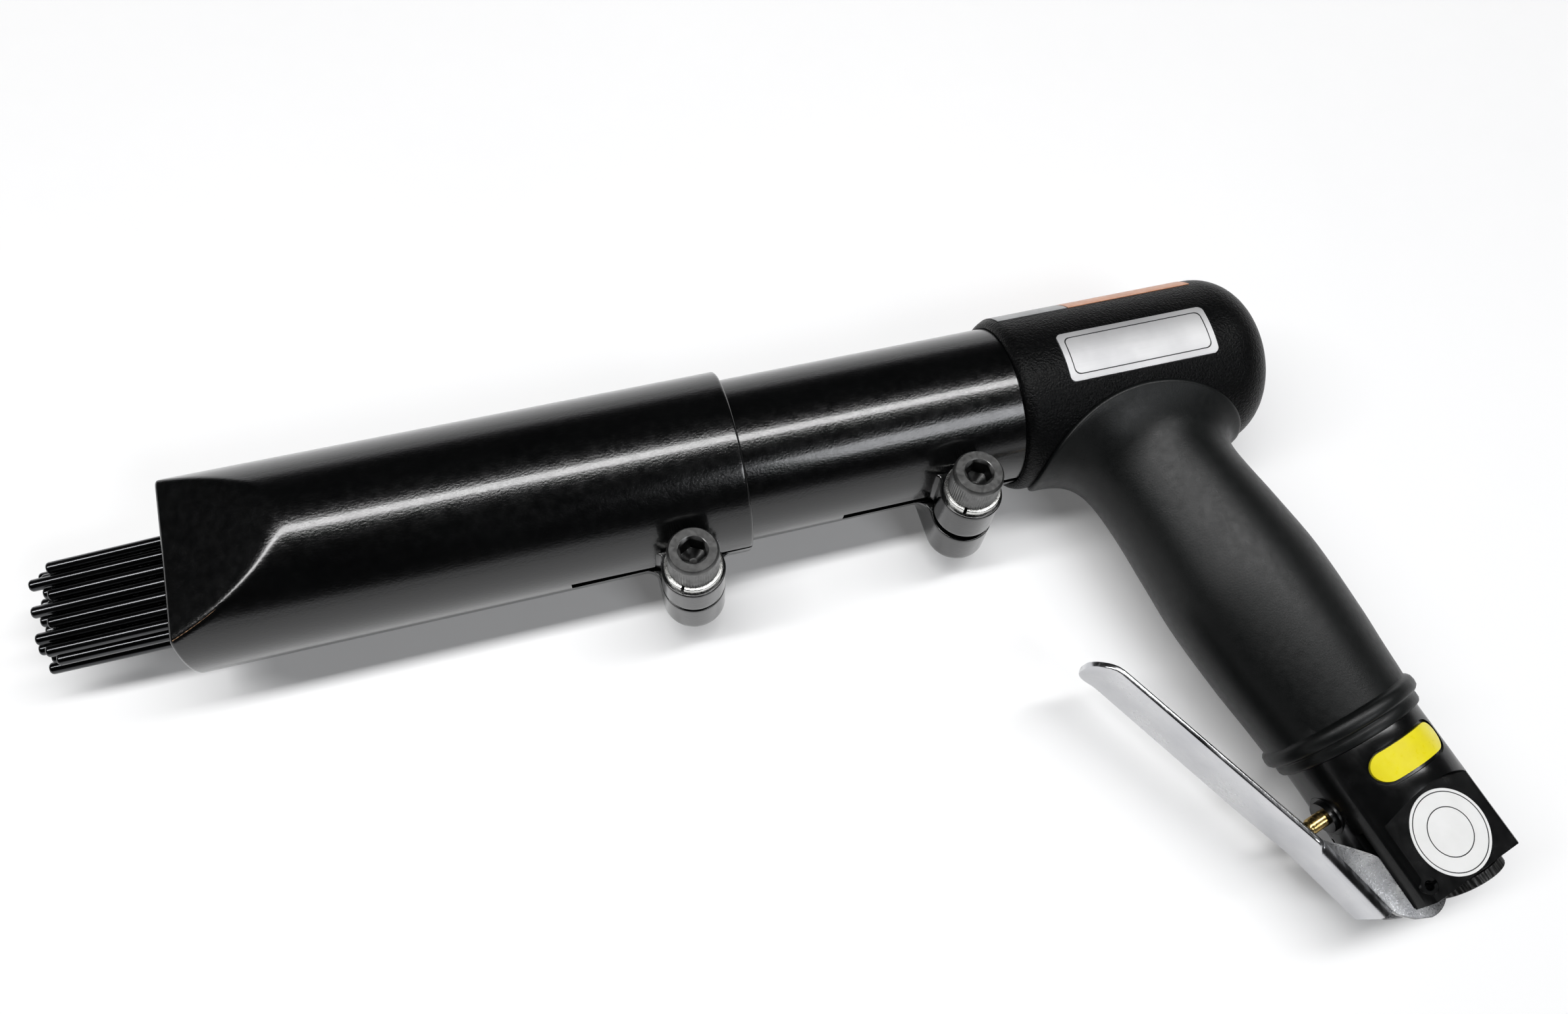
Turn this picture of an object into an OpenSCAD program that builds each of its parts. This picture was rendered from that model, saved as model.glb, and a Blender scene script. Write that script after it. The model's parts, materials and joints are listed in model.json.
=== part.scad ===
// Pneumatic needle scaler with a pistol grip, lying on its side. Sizes are in millimetres.
// The tool is drawn with its barrel along X, the needles toward -X and the handle toward -Y.
// lay_down() then sets it on the table, with the origin under the middle of its box.

/* [Cylinder and piston] */
// Diameter of the piston
piston_d = 24; // [23:0.5:26]
// Length of the piston
piston_len = 46; // [36:1:54]
// Wall of the cylinder
cylinder_wall = 7; // [6.5:0.25:9]
// Length of the cylinder
cylinder_len = 94.4; // [88:0.2:104]
// Length of the cylinder that sits inside the rear tube
cylinder_reach = 60.4; // [56:0.2:66]
// Diameter of the anvil stem
anvil_stem_d = 16; // [12:0.5:18]
// Length of the anvil stem behind its disc
anvil_stem_len = 26; // [22:1:30]
// Thickness of the anvil disc
anvil_disc_t = 9.3; // [6:0.1:12]

/* [Air distributor] */
// Thickness of the valve seat
valve_seat_t = 6.9; // [5:0.1:9]
// Thickness of the valve plate
valve_plate_t = 1.5; // [1:0.1:2]
// Diameter of the valve plate
valve_plate_d = 26; // [22:0.5:28]
// Thickness of the valve cap
valve_cap_t = 9.9; // [8:0.1:12]
// Travel of the valve plate to each side
valve_lift = 0.6; // [0.4:0.1:1]
// Height of the coned spring washer behind the cap
cone_washer_h = 2.8; // [2.2:0.1:3.4]
// Diameter of the pin that lines up the distributor
locating_pin_d = 3; // [2:0.5:4]

/* [Barrel tubes] */
// Wall of the rear tube
rear_tube_wall = 2.4; // [1.8:0.1:3]
// Wall of the front tube
front_tube_wall = 2.45; // [2:0.05:3.5]
// Length of the front tube
front_tube_len = 137.5; // [125:0.5:150]
// Length of the rear tube inside the front tube
tube_overlap = 62; // [56:1:70]
// Length of rear tube that shows between the front tube and the head
tube_show = 72.5; // [68:0.5:80]
// Length of rear tube under the head cover
tube_seat = 5.5; // [4:0.5:7]
// Height of the pressed nose at its mouth
nose_h = 25.5; // [23:0.5:30]
// Slope of the two pressed flats of the nose
nose_angle = 20; // [14:1:26]
// Width of the clamping slits at their closed end
slit_w = 2.4; // [1.6:0.1:2.8]
// Width of the front tube's slit at its open end, drawn together by the clamp
front_slit_mouth = 1; // [0.8:0.1:2.4]
// Width of the rear tube's slit at its open end
rear_slit_mouth = 2.4; // [0.8:0.1:2.8]
// Length of the front tube's slit
front_slit = 47; // [36:1:56]
// Length of the rear tube's slit
rear_slit = 53; // [42:1:56]

/* [Clamps] */
// Diameter of the clamp bosses
boss_d = 16; // [15:0.5:19]
// Distance of a clamp screw outside its tube's surface
boss_stand = 5.3; // [5.1:0.1:7]
// Turn of the clamps about the barrel
clamp_turn = 7.6; // [0:0.2:12]
// Drop of the slits below the barrel's axis, square to the screws
slit_drop = 4.5; // [3:0.25:6]
// Distance of the front clamp screw from the front tube's rim
front_boss_x = 17; // [14:0.5:24]
// Distance of the rear clamp screw from the head
rear_boss_x = 15.8; // [14:0.2:20]
// Height of the front boss above its slit
front_boss_up = 8.7; // [8:0.1:11]
// Height of the front boss below its slit
front_boss_down = 11.3; // [9:0.1:13]
// Height of the rear boss above its slit
rear_boss_up = 11.6; // [10:0.1:13]
// Height of the rear boss below its slit
rear_boss_down = 12.7; // [9:0.1:14]
// Diameter of the clamp screws
screw_d = 8; // [6:0.5:8]
// Diameter of the screw heads
screw_head_d = 13; // [11:0.5:13.5]
// Height of the screw heads
screw_head_h = 8; // [6:0.5:9]
// Width across the flats of the hexagon socket
hex_af = 6; // [5:0.5:7]
// Diameter of the lock washers
lock_washer_d = 14.6; // [14:0.1:15]
// Thickness of the lock washers
lock_washer_t = 2.2; // [1.6:0.1:2.6]

/* [Needles] */
// Diameter of a needle
needle_d = 3; // [2:0.1:3]
// Length of a needle with its head
needle_len = 180; // [172:0.5:190]
// Largest wear of a needle tip
needle_wear = 4.2; // [0:0.1:6]
// Rows of needles
needle_rows = 4; // [2:1:4]
// Needles in a row
needle_cols = 7; // [3:1:7]
// Thickness of the needle holder
holder_t = 8; // [6:0.5:10]
// Wire of the return spring
spring_wire_d = 1.8; // [1.4:0.1:2]
// Coils of the return spring
spring_coils = 8; // [5:1:9]

/* [Head] */
// Thickness of the head's cover
cover_t = 1.6; // [1.2:0.1:2.4]
// Height of the cover's lip above its side
lip_h = 0.3; // [0.2:0.05:0.8]
// Length of the cover's lip
lip_len = 3.5; // [2:0.5:5]
// Radius of the cover's rear edge
head_round = 12.7; // [9:0.1:15]
// Distance from the head's front to the handle's axis
handle_setback = 33.2; // [30:0.2:36]
// Thickness of the head's solid end
head_end_t = 14.2; // [12:0.2:18]

/* [Handle] */
// Lean of the handle to the rear
handle_lean = 15.3; // [10:0.1:20]
// Diameter of the cast core inside the grip
core_d = 31; // [28:0.5:32]
// Length of the grip from the barrel's axis to its foot
grip_len = 112.2; // [106:0.2:120]
// Half width of the grip at its swell, front to back
grip_swell = 22.3; // [21:0.1:25]
// Half thickness of the grip at its swell
grip_swell_t = 19.5; // [18:0.25:21]
// Half thickness of the large bead at the grip's foot
bead_t = 20.5; // [19.5:0.1:21]
// Thickness of the grip's saddle on the head
saddle_t = 1.9; // [1.2:0.1:2.1]
// Diameter of the neck below the grip
neck_d = 36; // [34:0.5:38]
// Length of the neck with the valve body
neck_len = 38.4; // [36:0.2:44]
// Thickness across the two flats of the valve body
flat_t = 24; // [23:0.5:27]
// Length of the flats at the middle
flat_len = 23.2; // [21:0.2:25]
// Radius of the flats' round upper edge
flat_round = 27; // [24:0.5:32]
// Diameter of the air passage up the handle
passage_d = 8; // [6:0.5:9]

/* [Throttle] */
// Thickness of the lever's sheet
lever_t = 1.6; // [1.2:0.1:2]
// Width of the lever
lever_w = 19; // [16:0.5:24]
// Distance of the lever's tip above its pin
lever_len = 83.3; // [80:0.1:86]
// Length of the lever's bent tip along the handle
lever_hook = 4.8; // [4:0.1:6]
// Distance of the lever's knee above its pin
knee_up = 19.2; // [18:0.1:21]
// Distance of the lever's foot below its pin
foot_down = 1.6; // [1:0.1:2.4]
// Distance of the lever's tip in front of the handle's axis
tip_front = 50.4; // [49:0.1:52]
// Distance of the lever's bend in front of the handle's axis
bend_front = 46.5; // [45:0.1:48]
// Distance of the lever's knee in front of the handle's axis
knee_front = 27.6; // [27:0.1:29]
// Distance of the lever's foot in front of the handle's axis
foot_front = 23.3; // [23:0.1:24.5]
// Width of the lever over its ears
ear_w = 14; // [12.5:0.25:15]
// Radius of the ears round the pin
ear_r = 7.4; // [6:0.1:8]
// Diameter of the lever's pin
pin_d = 4.2; // [3:0.1:5]
// Distance of the pin in front of the handle's axis
pin_front = 12.5; // [12:0.1:13]
// Height of the pin above the valve body's end
pin_up = 3.8; // [3.4:0.1:5]
// Distance of the throttle stem above the valve body's end
stem_up = 26.4; // [25.5:0.1:28]
// Diameter of the throttle stem
stem_d = 4; // [3:0.1:5]
// Diameter of the stem's bush
bush_d = 10; // [9:0.25:11]
// Diameter of the throttle valve
throttle_valve_d = 10.4; // [9:0.2:11]
// Diameter of the throttle's cross bore
cross_bore_d = 12; // [11.5:0.25:13]
// Coils of the throttle spring
throttle_coils = 7; // [5:1:9]

/* [Air inlet] */
// Distance of the inlet behind the handle's axis
inlet_back = 4; // [3:0.25:4.5]
// Diameter of the inlet bush inside the valve body
spigot_d = 15.2; // [14:0.2:15.6]
// Length of the inlet bush inside the valve body
spigot_len = 12.6; // [10:0.2:14]
// Diameter of the inlet bush's flange
flange_d = 19.2; // [18:0.2:19.6]
// Height of the inlet bush's flange
flange_h = 2.6; // [2:0.2:4]
// Diameter of the inlet's thread core
inlet_core_d = 11.5; // [9:0.25:12]

/* [Plates and labels] */
// Length of the nameplate
nameplate_l = 42; // [36:0.5:46]
// Width of the nameplate
nameplate_w = 13.8; // [10:0.2:16]
// Length of the grey label
grey_label_l = 20; // [14:0.5:24]
// Length of the orange label
orange_label_l = 36; // [28:0.5:38]
// Angle that the labels cover
label_angle = 59; // [40:1:70]
// Length of the yellow insert
insert_l = 22; // [18:0.5:24]
// Height of the yellow insert
insert_h = 7.2; // [6:0.2:8.4]
// Diameter of the round label
round_label_d = 20.4; // [16:0.2:21]

/* [Hidden] */
$fn = 96;

// Clearances: running fit on the radius, gap between seated faces, gap at a free face, overrun of a cut
run_gap = 0.06;
face_gap = 0.1;
rest_gap = 0.3;
over = 1;

// Radii of the barrel's nested pieces, from the piston out
bore_r = piston_d / 2 + run_gap;
cylinder_r = bore_r + cylinder_wall;
tube_bore_r = cylinder_r + run_gap;
rear_r = tube_bore_r + rear_tube_wall;
front_bore_r = rear_r + run_gap;
front_r = front_bore_r + front_tube_wall;
cup_r = rear_r + 0.5;
cover_bore_r = cup_r + face_gap;
cover_r = cover_bore_r + cover_t;
lip_r = cover_r + lip_h;

// Places along the barrel: zero is the rear rim of the front tube
head_x = tube_show;
tube_end = head_x + tube_seat;
cup_x = tube_end + 2;
cylinder_x = tube_end - cylinder_reach;
cylinder_end = cylinder_x + cylinder_len;
anvil_face = cylinder_x - rest_gap - anvil_disc_t;
needle_head_h = 2.4;
holder_end = anvil_face - rest_gap - needle_head_h;
seat_x = cylinder_end + face_gap;
cap_x = seat_x + valve_seat_t + face_gap;
cap_end = cap_x + valve_cap_t;
cup_bore_end = cap_end + face_gap + cone_washer_h + face_gap;
cup_end = cup_bore_end + head_end_t;
cover_end = cup_end + face_gap + cover_t;
edge_ring_r = cover_r - head_round;
edge_ring_x = cover_end - head_round;
chamber_t = valve_plate_t + 2 * valve_lift + 2 * face_gap;
handle_x = head_x + handle_setback;

// Seal and front guide of the cylinder, the pin that lines it up, and the piston's place
guide_len = 20;
seal_d = 1.6;
seal_x = cylinder_end - 12;
seal_ring_r = cylinder_r - seal_d / 2;
pin_y = bore_r + cylinder_wall / 2;
pin_start = cylinder_end - 6;
pin_end = cap_x + 4;
piston_back = 2;
piston_end = cylinder_end - piston_back;
piston_groove_w = 2;
piston_groove_t = 0.6;

// Air ports of the distributor and the groove round its cap
port_d = 3;
port_count = 6;
port_ring_r = valve_plate_d / 4;
cap_groove_x = cap_x + chamber_t + 1.2;
cap_groove_w = 4;
cap_groove_t = 2;
plate_x = cap_x + valve_lift + face_gap;
cone_washer_r = cylinder_r - 1.5;
cone_washer_bore_r = 8;
cone_washer_t = 1.2;

// Inner stop of the rear tube and the return spring's room
stop_t = 3;
stop_bore_r = tube_bore_r - 2.1;
spring_seat_t = 2.5;
spring_seat_x = -tube_overlap + stop_t + face_gap;
spring_seat_bore_r = stop_bore_r - 0.4;
anvil_disc_r = tube_bore_r - 2.6;
spring_x = spring_seat_x + spring_seat_t + face_gap;
spring_room = holder_end - holder_t - face_gap - spring_x;
spring_mean_r = tube_bore_r - 0.5 - spring_wire_d / 2;

// Needle pattern: centre distances at the holder and at the tips, and where the tips lie
holder_pitch = (tube_bore_r - 6.1) / 3.25;
holder_row_pitch = 0.9 * holder_pitch;
tip_pitch = needle_d + 0.45;
tip_row_pitch = needle_d - 0.4;
tip_sink = 5;
tip_side = 1.8;
needle_head_d = needle_d + 0.8;
holder_hole_gap = 0.25;
tip_chamfer = 0.5;
needle_end = holder_end + needle_head_h;

// Clamp places
front_boss_y = front_r + boss_stand;
rear_boss_y = rear_r + boss_stand;
boss_fillet = 4;
spot_face_gap = 0.4;
thread_gap = 0.06;
screw_hole_gap = 0.3;
screw_grip = 8;
head_chamfer = 0.6;
washer_split_w = 0.8;
washer_split_turn = 205;

// Handle places, along the handle from the barrel's axis
neck_r = neck_d / 2;
core_r = core_d / 2;
core_top = 16;
grip_gap = 0.1;
valve_body_end = grip_len + face_gap + neck_len;
stem_h = valve_body_end - stem_up;
pin_h = valve_body_end - pin_up;
insert_at = stem_h - 4.7;
insert_back = 1.3;
insert_depth = 0.8;
insert_margin = 0.8;
insert_sink = 0.1;
flat_top = valve_body_end - flat_len;
label_at = valve_body_end - 10.6;
passage_back = 8;
cross_bore_back = 12;
bush_inner = -8;
bush_collar = 1.2;
valve_t = 3.5;
valve_front = bush_inner + rest_gap;
spigot_top = valve_body_end - spigot_len;
gasket_t = 0.8;
screen_t = 0.8;
ear_in = ear_w / 2 - lever_t;
slot_gap = 0.3;
slot_back = -pin_front + ear_r + slot_gap + 0.2;
slot_top = pin_h - 2.2 * ear_r;
pin_len = flat_t - 0.4;
pin_bore_d = 0.57 * pin_d;
pin_slit_w = 0.8;
stem_socket = 2.4;
bush_collar_r = bush_d / 2 - 1;
gasket_margin = 0.2;
mesh_pitch = 2;
mesh_hole_d = 1.2;

// Middle line of the lever's sheet from its tip to its foot: forward of the handle's axis, along it
lever_tip = [tip_front, pin_h - lever_len];
lever_bend = [bend_front, pin_h - lever_len + lever_hook];
lever_knee = [knee_front, pin_h - knee_up];
lever_foot = [foot_front, pin_h + foot_down];

// One face of the lever's sheet as points from the tip to the foot, mitred at the bends
function across(a, b) = [a[1] - b[1], b[0] - a[0]] / norm(b - a);
function mitre(a, b, c) = let (m = across(a, b) + across(b, c)) 2 * m / (m * m);
function lever_side(side) = [
    lever_tip + side * lever_t / 2 * across(lever_tip, lever_bend),
    lever_bend + side * lever_t / 2 * mitre(lever_tip, lever_bend, lever_knee),
    lever_knee + side * lever_t / 2 * mitre(lever_bend, lever_knee, lever_foot),
    lever_foot + side * lever_t / 2 * across(lever_knee, lever_foot)
];
function lever_side_back(side) = let (points = lever_side(side)) [for (i = [3 : -1 : 0]) points[i]];

// Front end of the throttle stem: its lower edge is a rest gap behind the lever's sloping inner face
lever_slope = (lever_bend[0] - lever_knee[0]) / (lever_knee[1] - lever_bend[1]);
lever_front = lever_knee[0] + (lever_knee[1] - stem_h) * lever_slope;
stem_front = -lever_front + lever_t / 2 * norm([1, lever_slope]) + stem_d / 2 * lever_slope + rest_gap;

// Saddle of the grip: a disc on the side of the head
saddle_r = 38.4;
saddle_x = handle_x + 1.3;
saddle_y = 49.2;

// Grip sections along the handle: place, reach to the front, reach to the rear, half thickness
bead_at = grip_len - 4.9;
bead_w = bead_t + 0.5;
bead_len = 3.6;
bead_top = bead_at - bead_len / 2;
bead_edge = 0.8;
foot_len = 7.3;
foot_r = bead_t - 1.2;
section_t = 0.1;
grip_sections = [
    [16, 32.4, 22.6, 20.4],
    [20, 29.2, 22.6, 20.4],
    [24.4, 24.6, 21.6, 19.7],
    [29, 22.2, 20.4, 19.1],
    [36, 20.6, 19.4, 18.5],
    [52, 21.4, 21, 19.1],
    [67, grip_swell, grip_swell, grip_swell_t],
    [86, 21.6, 21.6, 19.3],
    [grip_len - foot_len + section_t, 20, 20, 18.8]
];

// Plates and labels on the head
plate_t = 0.45;
film_t = 0.15;
nameplate_x = handle_x + 2.5;
nameplate_corner = 1.5;
label_start_angle = -15;
label_x = head_x + lip_len + 0.6;
label_gap = 0.4;
round_label_back = 0.2;

// Attitude on the table: the barrel and the large bead both touch it
rest_r = max(front_r, lip_r);
bead_y = bead_at * cos(handle_lean);
lie_roll = asin(rest_r / norm([bead_y, bead_t])) - atan2(bead_t, bead_y);
needle_tip_x = needle_end - needle_len;
ear_y = pin_h * cos(handle_lean) + pin_front * sin(handle_lean) + ear_r;
low_y = ear_y * cos(lie_roll) + ear_w / 2 * sin(lie_roll);
heel_x = handle_x + valve_body_end * sin(handle_lean) + neck_r * cos(handle_lean);
middle_x = (needle_tip_x + max(heel_x, cover_end)) / 2;
middle_y = (front_r - low_y) / 2;

// Least gap between the coils of the two springs, measured on their centre points
coil_steps = 16;
function coil_point(t, coils, mean_r, length) =
    [length * t, mean_r * cos(360 * coils * t), mean_r * sin(360 * coils * t)];
function coil_line(coils, mean_r, length) =
    [for (i = [0 : coil_steps * coils]) coil_point(i / (coil_steps * coils), coils, mean_r, length)];
function coil_gap(line, wire_d) =
    min([for (i = [0 : len(line) - coil_steps]) for (j = [i + 3 * coil_steps / 4 : len(line) - 1])
        norm(line[j] - line[i])]) - wire_d;

throttle_wire_d = 1;
throttle_mean_r = 3.8;
throttle_spring_u = valve_front + valve_t + face_gap;
throttle_room = cross_bore_back - face_gap - throttle_spring_u;
echo(return_spring_gap =
    coil_gap(coil_line(spring_coils, spring_mean_r, spring_room - spring_wire_d), spring_wire_d));
echo(throttle_spring_gap =
    coil_gap(coil_line(throttle_coils, throttle_mean_r, throttle_room - throttle_wire_d), throttle_wire_d));

// Sets the tool down on the table
module lay_down() {
    translate([-middle_x, -middle_y, rest_r]) rotate([lie_roll, 0, 0]) children();
}

// Turns a piece drawn along Z to lie along the barrel, starting at x
module along_barrel(x) {
    translate([x, 0, 0]) rotate([0, 90, 0]) children();
}

module barrel_rod(r, x0, x1) {
    along_barrel(x0) cylinder(h = x1 - x0, r = r);
}

// Handle axes: x to the rear, y toward the tool's upper side, z down the handle
module on_handle() {
    translate([handle_x, 0, 0]) rotate([0, 0, handle_lean]) rotate([90, 0, 0]) children();
}

// A rod across the handle, from front to rear at a place along the handle
module cross_rod(r, at, u0, u1) {
    translate([u0, 0, at]) rotate([0, 90, 0]) cylinder(h = u1 - u0, r = r);
}

// Draws an outline of forward and downward distances as a plate across the handle
module lever_plate(z0, z1) {
    translate([0, z1, 0]) rotate([90, 0, 0]) linear_extrude(z1 - z0) mirror([1, 0]) children();
}

// Clamp axes: z along the clamp screw, with the slit at z = 0
module at_clamp(x, y) {
    rotate([-clamp_turn, 0, 0]) translate([x, -y, -slit_drop]) children();
}

// Boss of a clamp with its web to the tube
module clamp_boss(up, down, reach) {
    translate([0, 0, -down]) linear_extrude(up + down) {
        circle(d = boss_d);
        translate([-boss_d / 2, 0]) square([boss_d, reach]);
        for (side = [-1, 1]) {
            difference() {
                translate([side * (boss_d + boss_fillet) / 2, boss_stand + boss_fillet / 2])
                    square([boss_fillet, boss_fillet], center = true);
                translate([side * (boss_d / 2 + boss_fillet), boss_stand]) circle(r = boss_fillet);
            }
        }
    }
}

// Screw hole and spot face of a clamp
module clamp_cuts(up, down) {
    cylinder(h = up + over, d = screw_d + 2 * screw_hole_gap);
    translate([0, 0, -down - over]) cylinder(h = down + 2 * over, d = screw_d + 2 * thread_gap);
    translate([0, 0, up]) cylinder(h = 2 * front_r, d = lock_washer_d + 2 * spot_face_gap);
}

// Slit from its closed end out through the rim, as wide there as its mouth
module clamp_slit(x0, x1, mouth, reach) {
    rotate([-clamp_turn, 0, 0]) translate([0, -tube_bore_r / 2, -slit_drop]) rotate([90, 0, 0])
        linear_extrude(reach - tube_bore_r / 2)
            polygon([[x0, -slit_w / 2], [x1, -mouth / 2], [x1, mouth / 2], [x0, slit_w / 2]]);
}

module clamp_screw(up) {
    translate([0, 0, up + lock_washer_t]) difference() {
        union() {
            cylinder(h = screw_head_h - head_chamfer, d = screw_head_d);
            translate([0, 0, screw_head_h - head_chamfer])
                cylinder(h = head_chamfer, d1 = screw_head_d, d2 = screw_head_d - 2 * head_chamfer);
            translate([0, 0, -up - lock_washer_t - screw_grip])
                cylinder(h = up + lock_washer_t + screw_grip + over, d = screw_d);
        }
        translate([0, 0, screw_head_h / 2]) cylinder(h = screw_head_h, d = hex_af / cos(30), $fn = 6);
    }
}

// Split spring washer, its cut turned to the outer side
module lock_washer(up) {
    translate([0, 0, up]) difference() {
        cylinder(h = lock_washer_t, d = lock_washer_d);
        translate([0, 0, -over]) cylinder(h = lock_washer_t + 2 * over, d = screw_d + 2 * screw_hole_gap);
        rotate([0, 0, washer_split_turn]) translate([0, -washer_split_w / 2, -over])
            cube([lock_washer_d, washer_split_w, lock_washer_t + 2 * over]);
    }
}

// Space between the two pressed flats of the nose, open to the rear
module nose_wedge(half_h) {
    slope = tan(nose_angle);
    reach = front_r + over;
    wide_x = -front_tube_len + (reach - half_h) / slope;
    tip_x = -front_tube_len - over;
    tip_h = half_h - over * slope;
    rotate([90, 0, 0]) linear_extrude(3 * front_r, center = true)
        polygon([
            [tip_x, -tip_h], [wide_x, -reach], [over, -reach],
            [over, reach], [wide_x, reach], [tip_x, tip_h]
        ]);
}

module front_tube() {
    color("#19191b") lay_down() difference() {
        union() {
            intersection() {
                barrel_rod(front_r, -front_tube_len, 0);
                nose_wedge(nose_h / 2);
            }
            at_clamp(-front_boss_x, front_boss_y)
                clamp_boss(front_boss_up, front_boss_down, boss_stand + front_r / 2);
        }
        intersection() {
            barrel_rod(front_bore_r, -front_tube_len - over, over);
            nose_wedge(nose_h / 2 - front_tube_wall / cos(nose_angle));
        }
        clamp_slit(-front_slit, over, front_slit_mouth, front_boss_y + boss_d);
        at_clamp(-front_boss_x, front_boss_y) clamp_cuts(front_boss_up, front_boss_down);
    }
}

module front_clamp_screw() {
    color("#2b2b2c") lay_down() at_clamp(-front_boss_x, front_boss_y) clamp_screw(front_boss_up);
}

module front_lock_washer() {
    color("#c9c9c4") lay_down() at_clamp(-front_boss_x, front_boss_y) lock_washer(front_boss_up);
}

module rear_tube() {
    color("#19191b") lay_down() difference() {
        union() {
            barrel_rod(rear_r, -tube_overlap, tube_end);
            at_clamp(head_x - rear_boss_x, rear_boss_y)
                clamp_boss(rear_boss_up, rear_boss_down, boss_stand + rear_r / 2);
        }
        barrel_rod(tube_bore_r, -tube_overlap + stop_t, tube_end + over);
        barrel_rod(stop_bore_r, -tube_overlap - over, 0);
        clamp_slit(tube_end - rear_slit, tube_end + over, rear_slit_mouth, rear_boss_y + boss_d);
        at_clamp(head_x - rear_boss_x, rear_boss_y) clamp_cuts(rear_boss_up, rear_boss_down);
    }
}

module rear_clamp_screw() {
    color("#2b2b2c") lay_down() at_clamp(head_x - rear_boss_x, rear_boss_y) clamp_screw(rear_boss_up);
}

module rear_lock_washer() {
    color("#c9c9c4") lay_down() at_clamp(head_x - rear_boss_x, rear_boss_y) lock_washer(rear_boss_up);
}

// Place of a needle across the bundle, staggered from row to row
function needle_yz(row, col, pitch, row_pitch) = [
    (col - (needle_cols - 1) / 2 + (row % 2 == 0 ? -0.25 : 0.25)) * pitch,
    (row - (needle_rows - 1) / 2) * row_pitch
];
function needle_at_holder(row, col) = concat(
    [holder_end - holder_t / 2], needle_yz(row, col, holder_pitch, holder_row_pitch));
function needle_at_tip(row, col) = concat(
    [needle_tip_x], needle_yz(row, col, tip_pitch, tip_row_pitch) - [tip_side, tip_sink]);
// Point of a needle's line at x
function needle_point(row, col, x) =
    let (a = needle_at_holder(row, col), b = needle_at_tip(row, col))
    a + (b - a) * (x - a[0]) / (b[0] - a[0]);
function needle_tip(row, col) = needle_tip_x + needle_wear * pow(sin(97 * (row * needle_cols + col)), 2);

// Outline of a needle from its head to its chamfered tip, to be spun about its axis
module needle_outline(length) {
    shank_r = needle_d / 2;
    head_end = needle_head_h - face_gap;
    polygon([
        [0, 0], [needle_head_d / 2, 0], [needle_head_d / 2, head_end], [shank_r, head_end],
        [shank_r, length - tip_chamfer], [shank_r - tip_chamfer, length], [0, length]
    ]);
}

// Needles: each has an upset head behind the holder, and they lean together toward the nose
module needles() {
    color("#121213") lay_down() for (row = [0 : needle_rows - 1]) for (col = [0 : needle_cols - 1]) {
        head = needle_point(row, col, needle_end);
        v = needle_point(row, col, needle_tip(row, col)) - head;
        translate(head) rotate([0, acos(v[2] / norm(v)), atan2(v[1], v[0])])
            rotate_extrude($fn = 24) needle_outline(norm(v));
    }
}

module needle_holder() {
    color("#6a6c6e") lay_down() difference() {
        barrel_rod(tube_bore_r - run_gap, holder_end - holder_t, holder_end);
        for (row = [0 : needle_rows - 1]) for (col = [0 : needle_cols - 1]) {
            place = needle_at_holder(row, col);
            translate([0, place[1], place[2]])
                barrel_rod(needle_d / 2 + holder_hole_gap, holder_end - holder_t - over, holder_end + over);
        }
    }
}

// One unbroken round wire wound as a spring along X
module coil(coils, mean_r, wire_d, length) {
    sides = 6;
    steps = coil_steps * coils;
    line = coil_line(coils, mean_r, length - wire_d);
    points = [for (i = [0 : steps]) for (k = [0 : sides - 1])
        let (a = 360 * k / sides, turn = 360 * coils * i / steps)
        [wire_d / 2 + line[i][0] + wire_d / 2 * sin(a),
            line[i][1] + wire_d / 2 * cos(a) * cos(turn),
            line[i][2] + wire_d / 2 * cos(a) * sin(turn)]];
    walls = [for (i = [0 : steps - 1]) for (k = [0 : sides - 1]) for (half = [0, 1])
        let (a = i * sides + k, b = i * sides + (k + 1) % sides)
        half == 0 ? [a, a + sides, b] : [b, a + sides, b + sides]];
    first = [for (k = [1 : sides - 2]) [0, k, k + 1]];
    last = [for (k = [1 : sides - 2]) [steps * sides, steps * sides + k + 1, steps * sides + k]];
    polyhedron(points, concat(walls, first, last), convexity = 10);
}

module return_spring() {
    color("#8d8f91") lay_down() translate([spring_x, 0, 0])
        coil(spring_coils, spring_mean_r, spring_wire_d, spring_room);
}

module spring_seat() {
    color("#77797b") lay_down() difference() {
        barrel_rod(tube_bore_r - run_gap, spring_seat_x, spring_seat_x + spring_seat_t);
        barrel_rod(spring_seat_bore_r, -tube_overlap, 0);
    }
}

module anvil() {
    color("#7d8083") lay_down() union() {
        barrel_rod(anvil_disc_r, anvil_face, anvil_face + anvil_disc_t);
        barrel_rod(anvil_stem_d / 2, anvil_face, anvil_face + anvil_disc_t + anvil_stem_len);
    }
}

// Hole for the pin that lines the distributor up with the cylinder, on the handle's side
module pin_hole(x0, x1) {
    translate([0, -pin_y, 0]) barrel_rod(locating_pin_d / 2 + run_gap, x0, x1);
}

// Cylinder: front bore guides the anvil's stem, main bore carries the piston
module cylinder_node() {
    color("#8a8c8e") lay_down() difference() {
        barrel_rod(cylinder_r, cylinder_x, cylinder_end);
        barrel_rod(anvil_stem_d / 2 + run_gap, cylinder_x - over, cylinder_end);
        barrel_rod(bore_r, cylinder_x + guide_len, cylinder_end + over);
        difference() {
            barrel_rod(cylinder_r + over, seal_x - seal_d / 2 - face_gap, seal_x + seal_d / 2 + face_gap);
            barrel_rod(cylinder_r - seal_d - face_gap, seal_x - seal_d, seal_x + seal_d);
        }
        pin_hole(pin_start, cylinder_end + over);
    }
}

module cylinder_seal() {
    color("#202021") lay_down() along_barrel(seal_x) rotate_extrude() translate([seal_ring_r, 0])
        circle(d = seal_d, $fn = 24);
}

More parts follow.
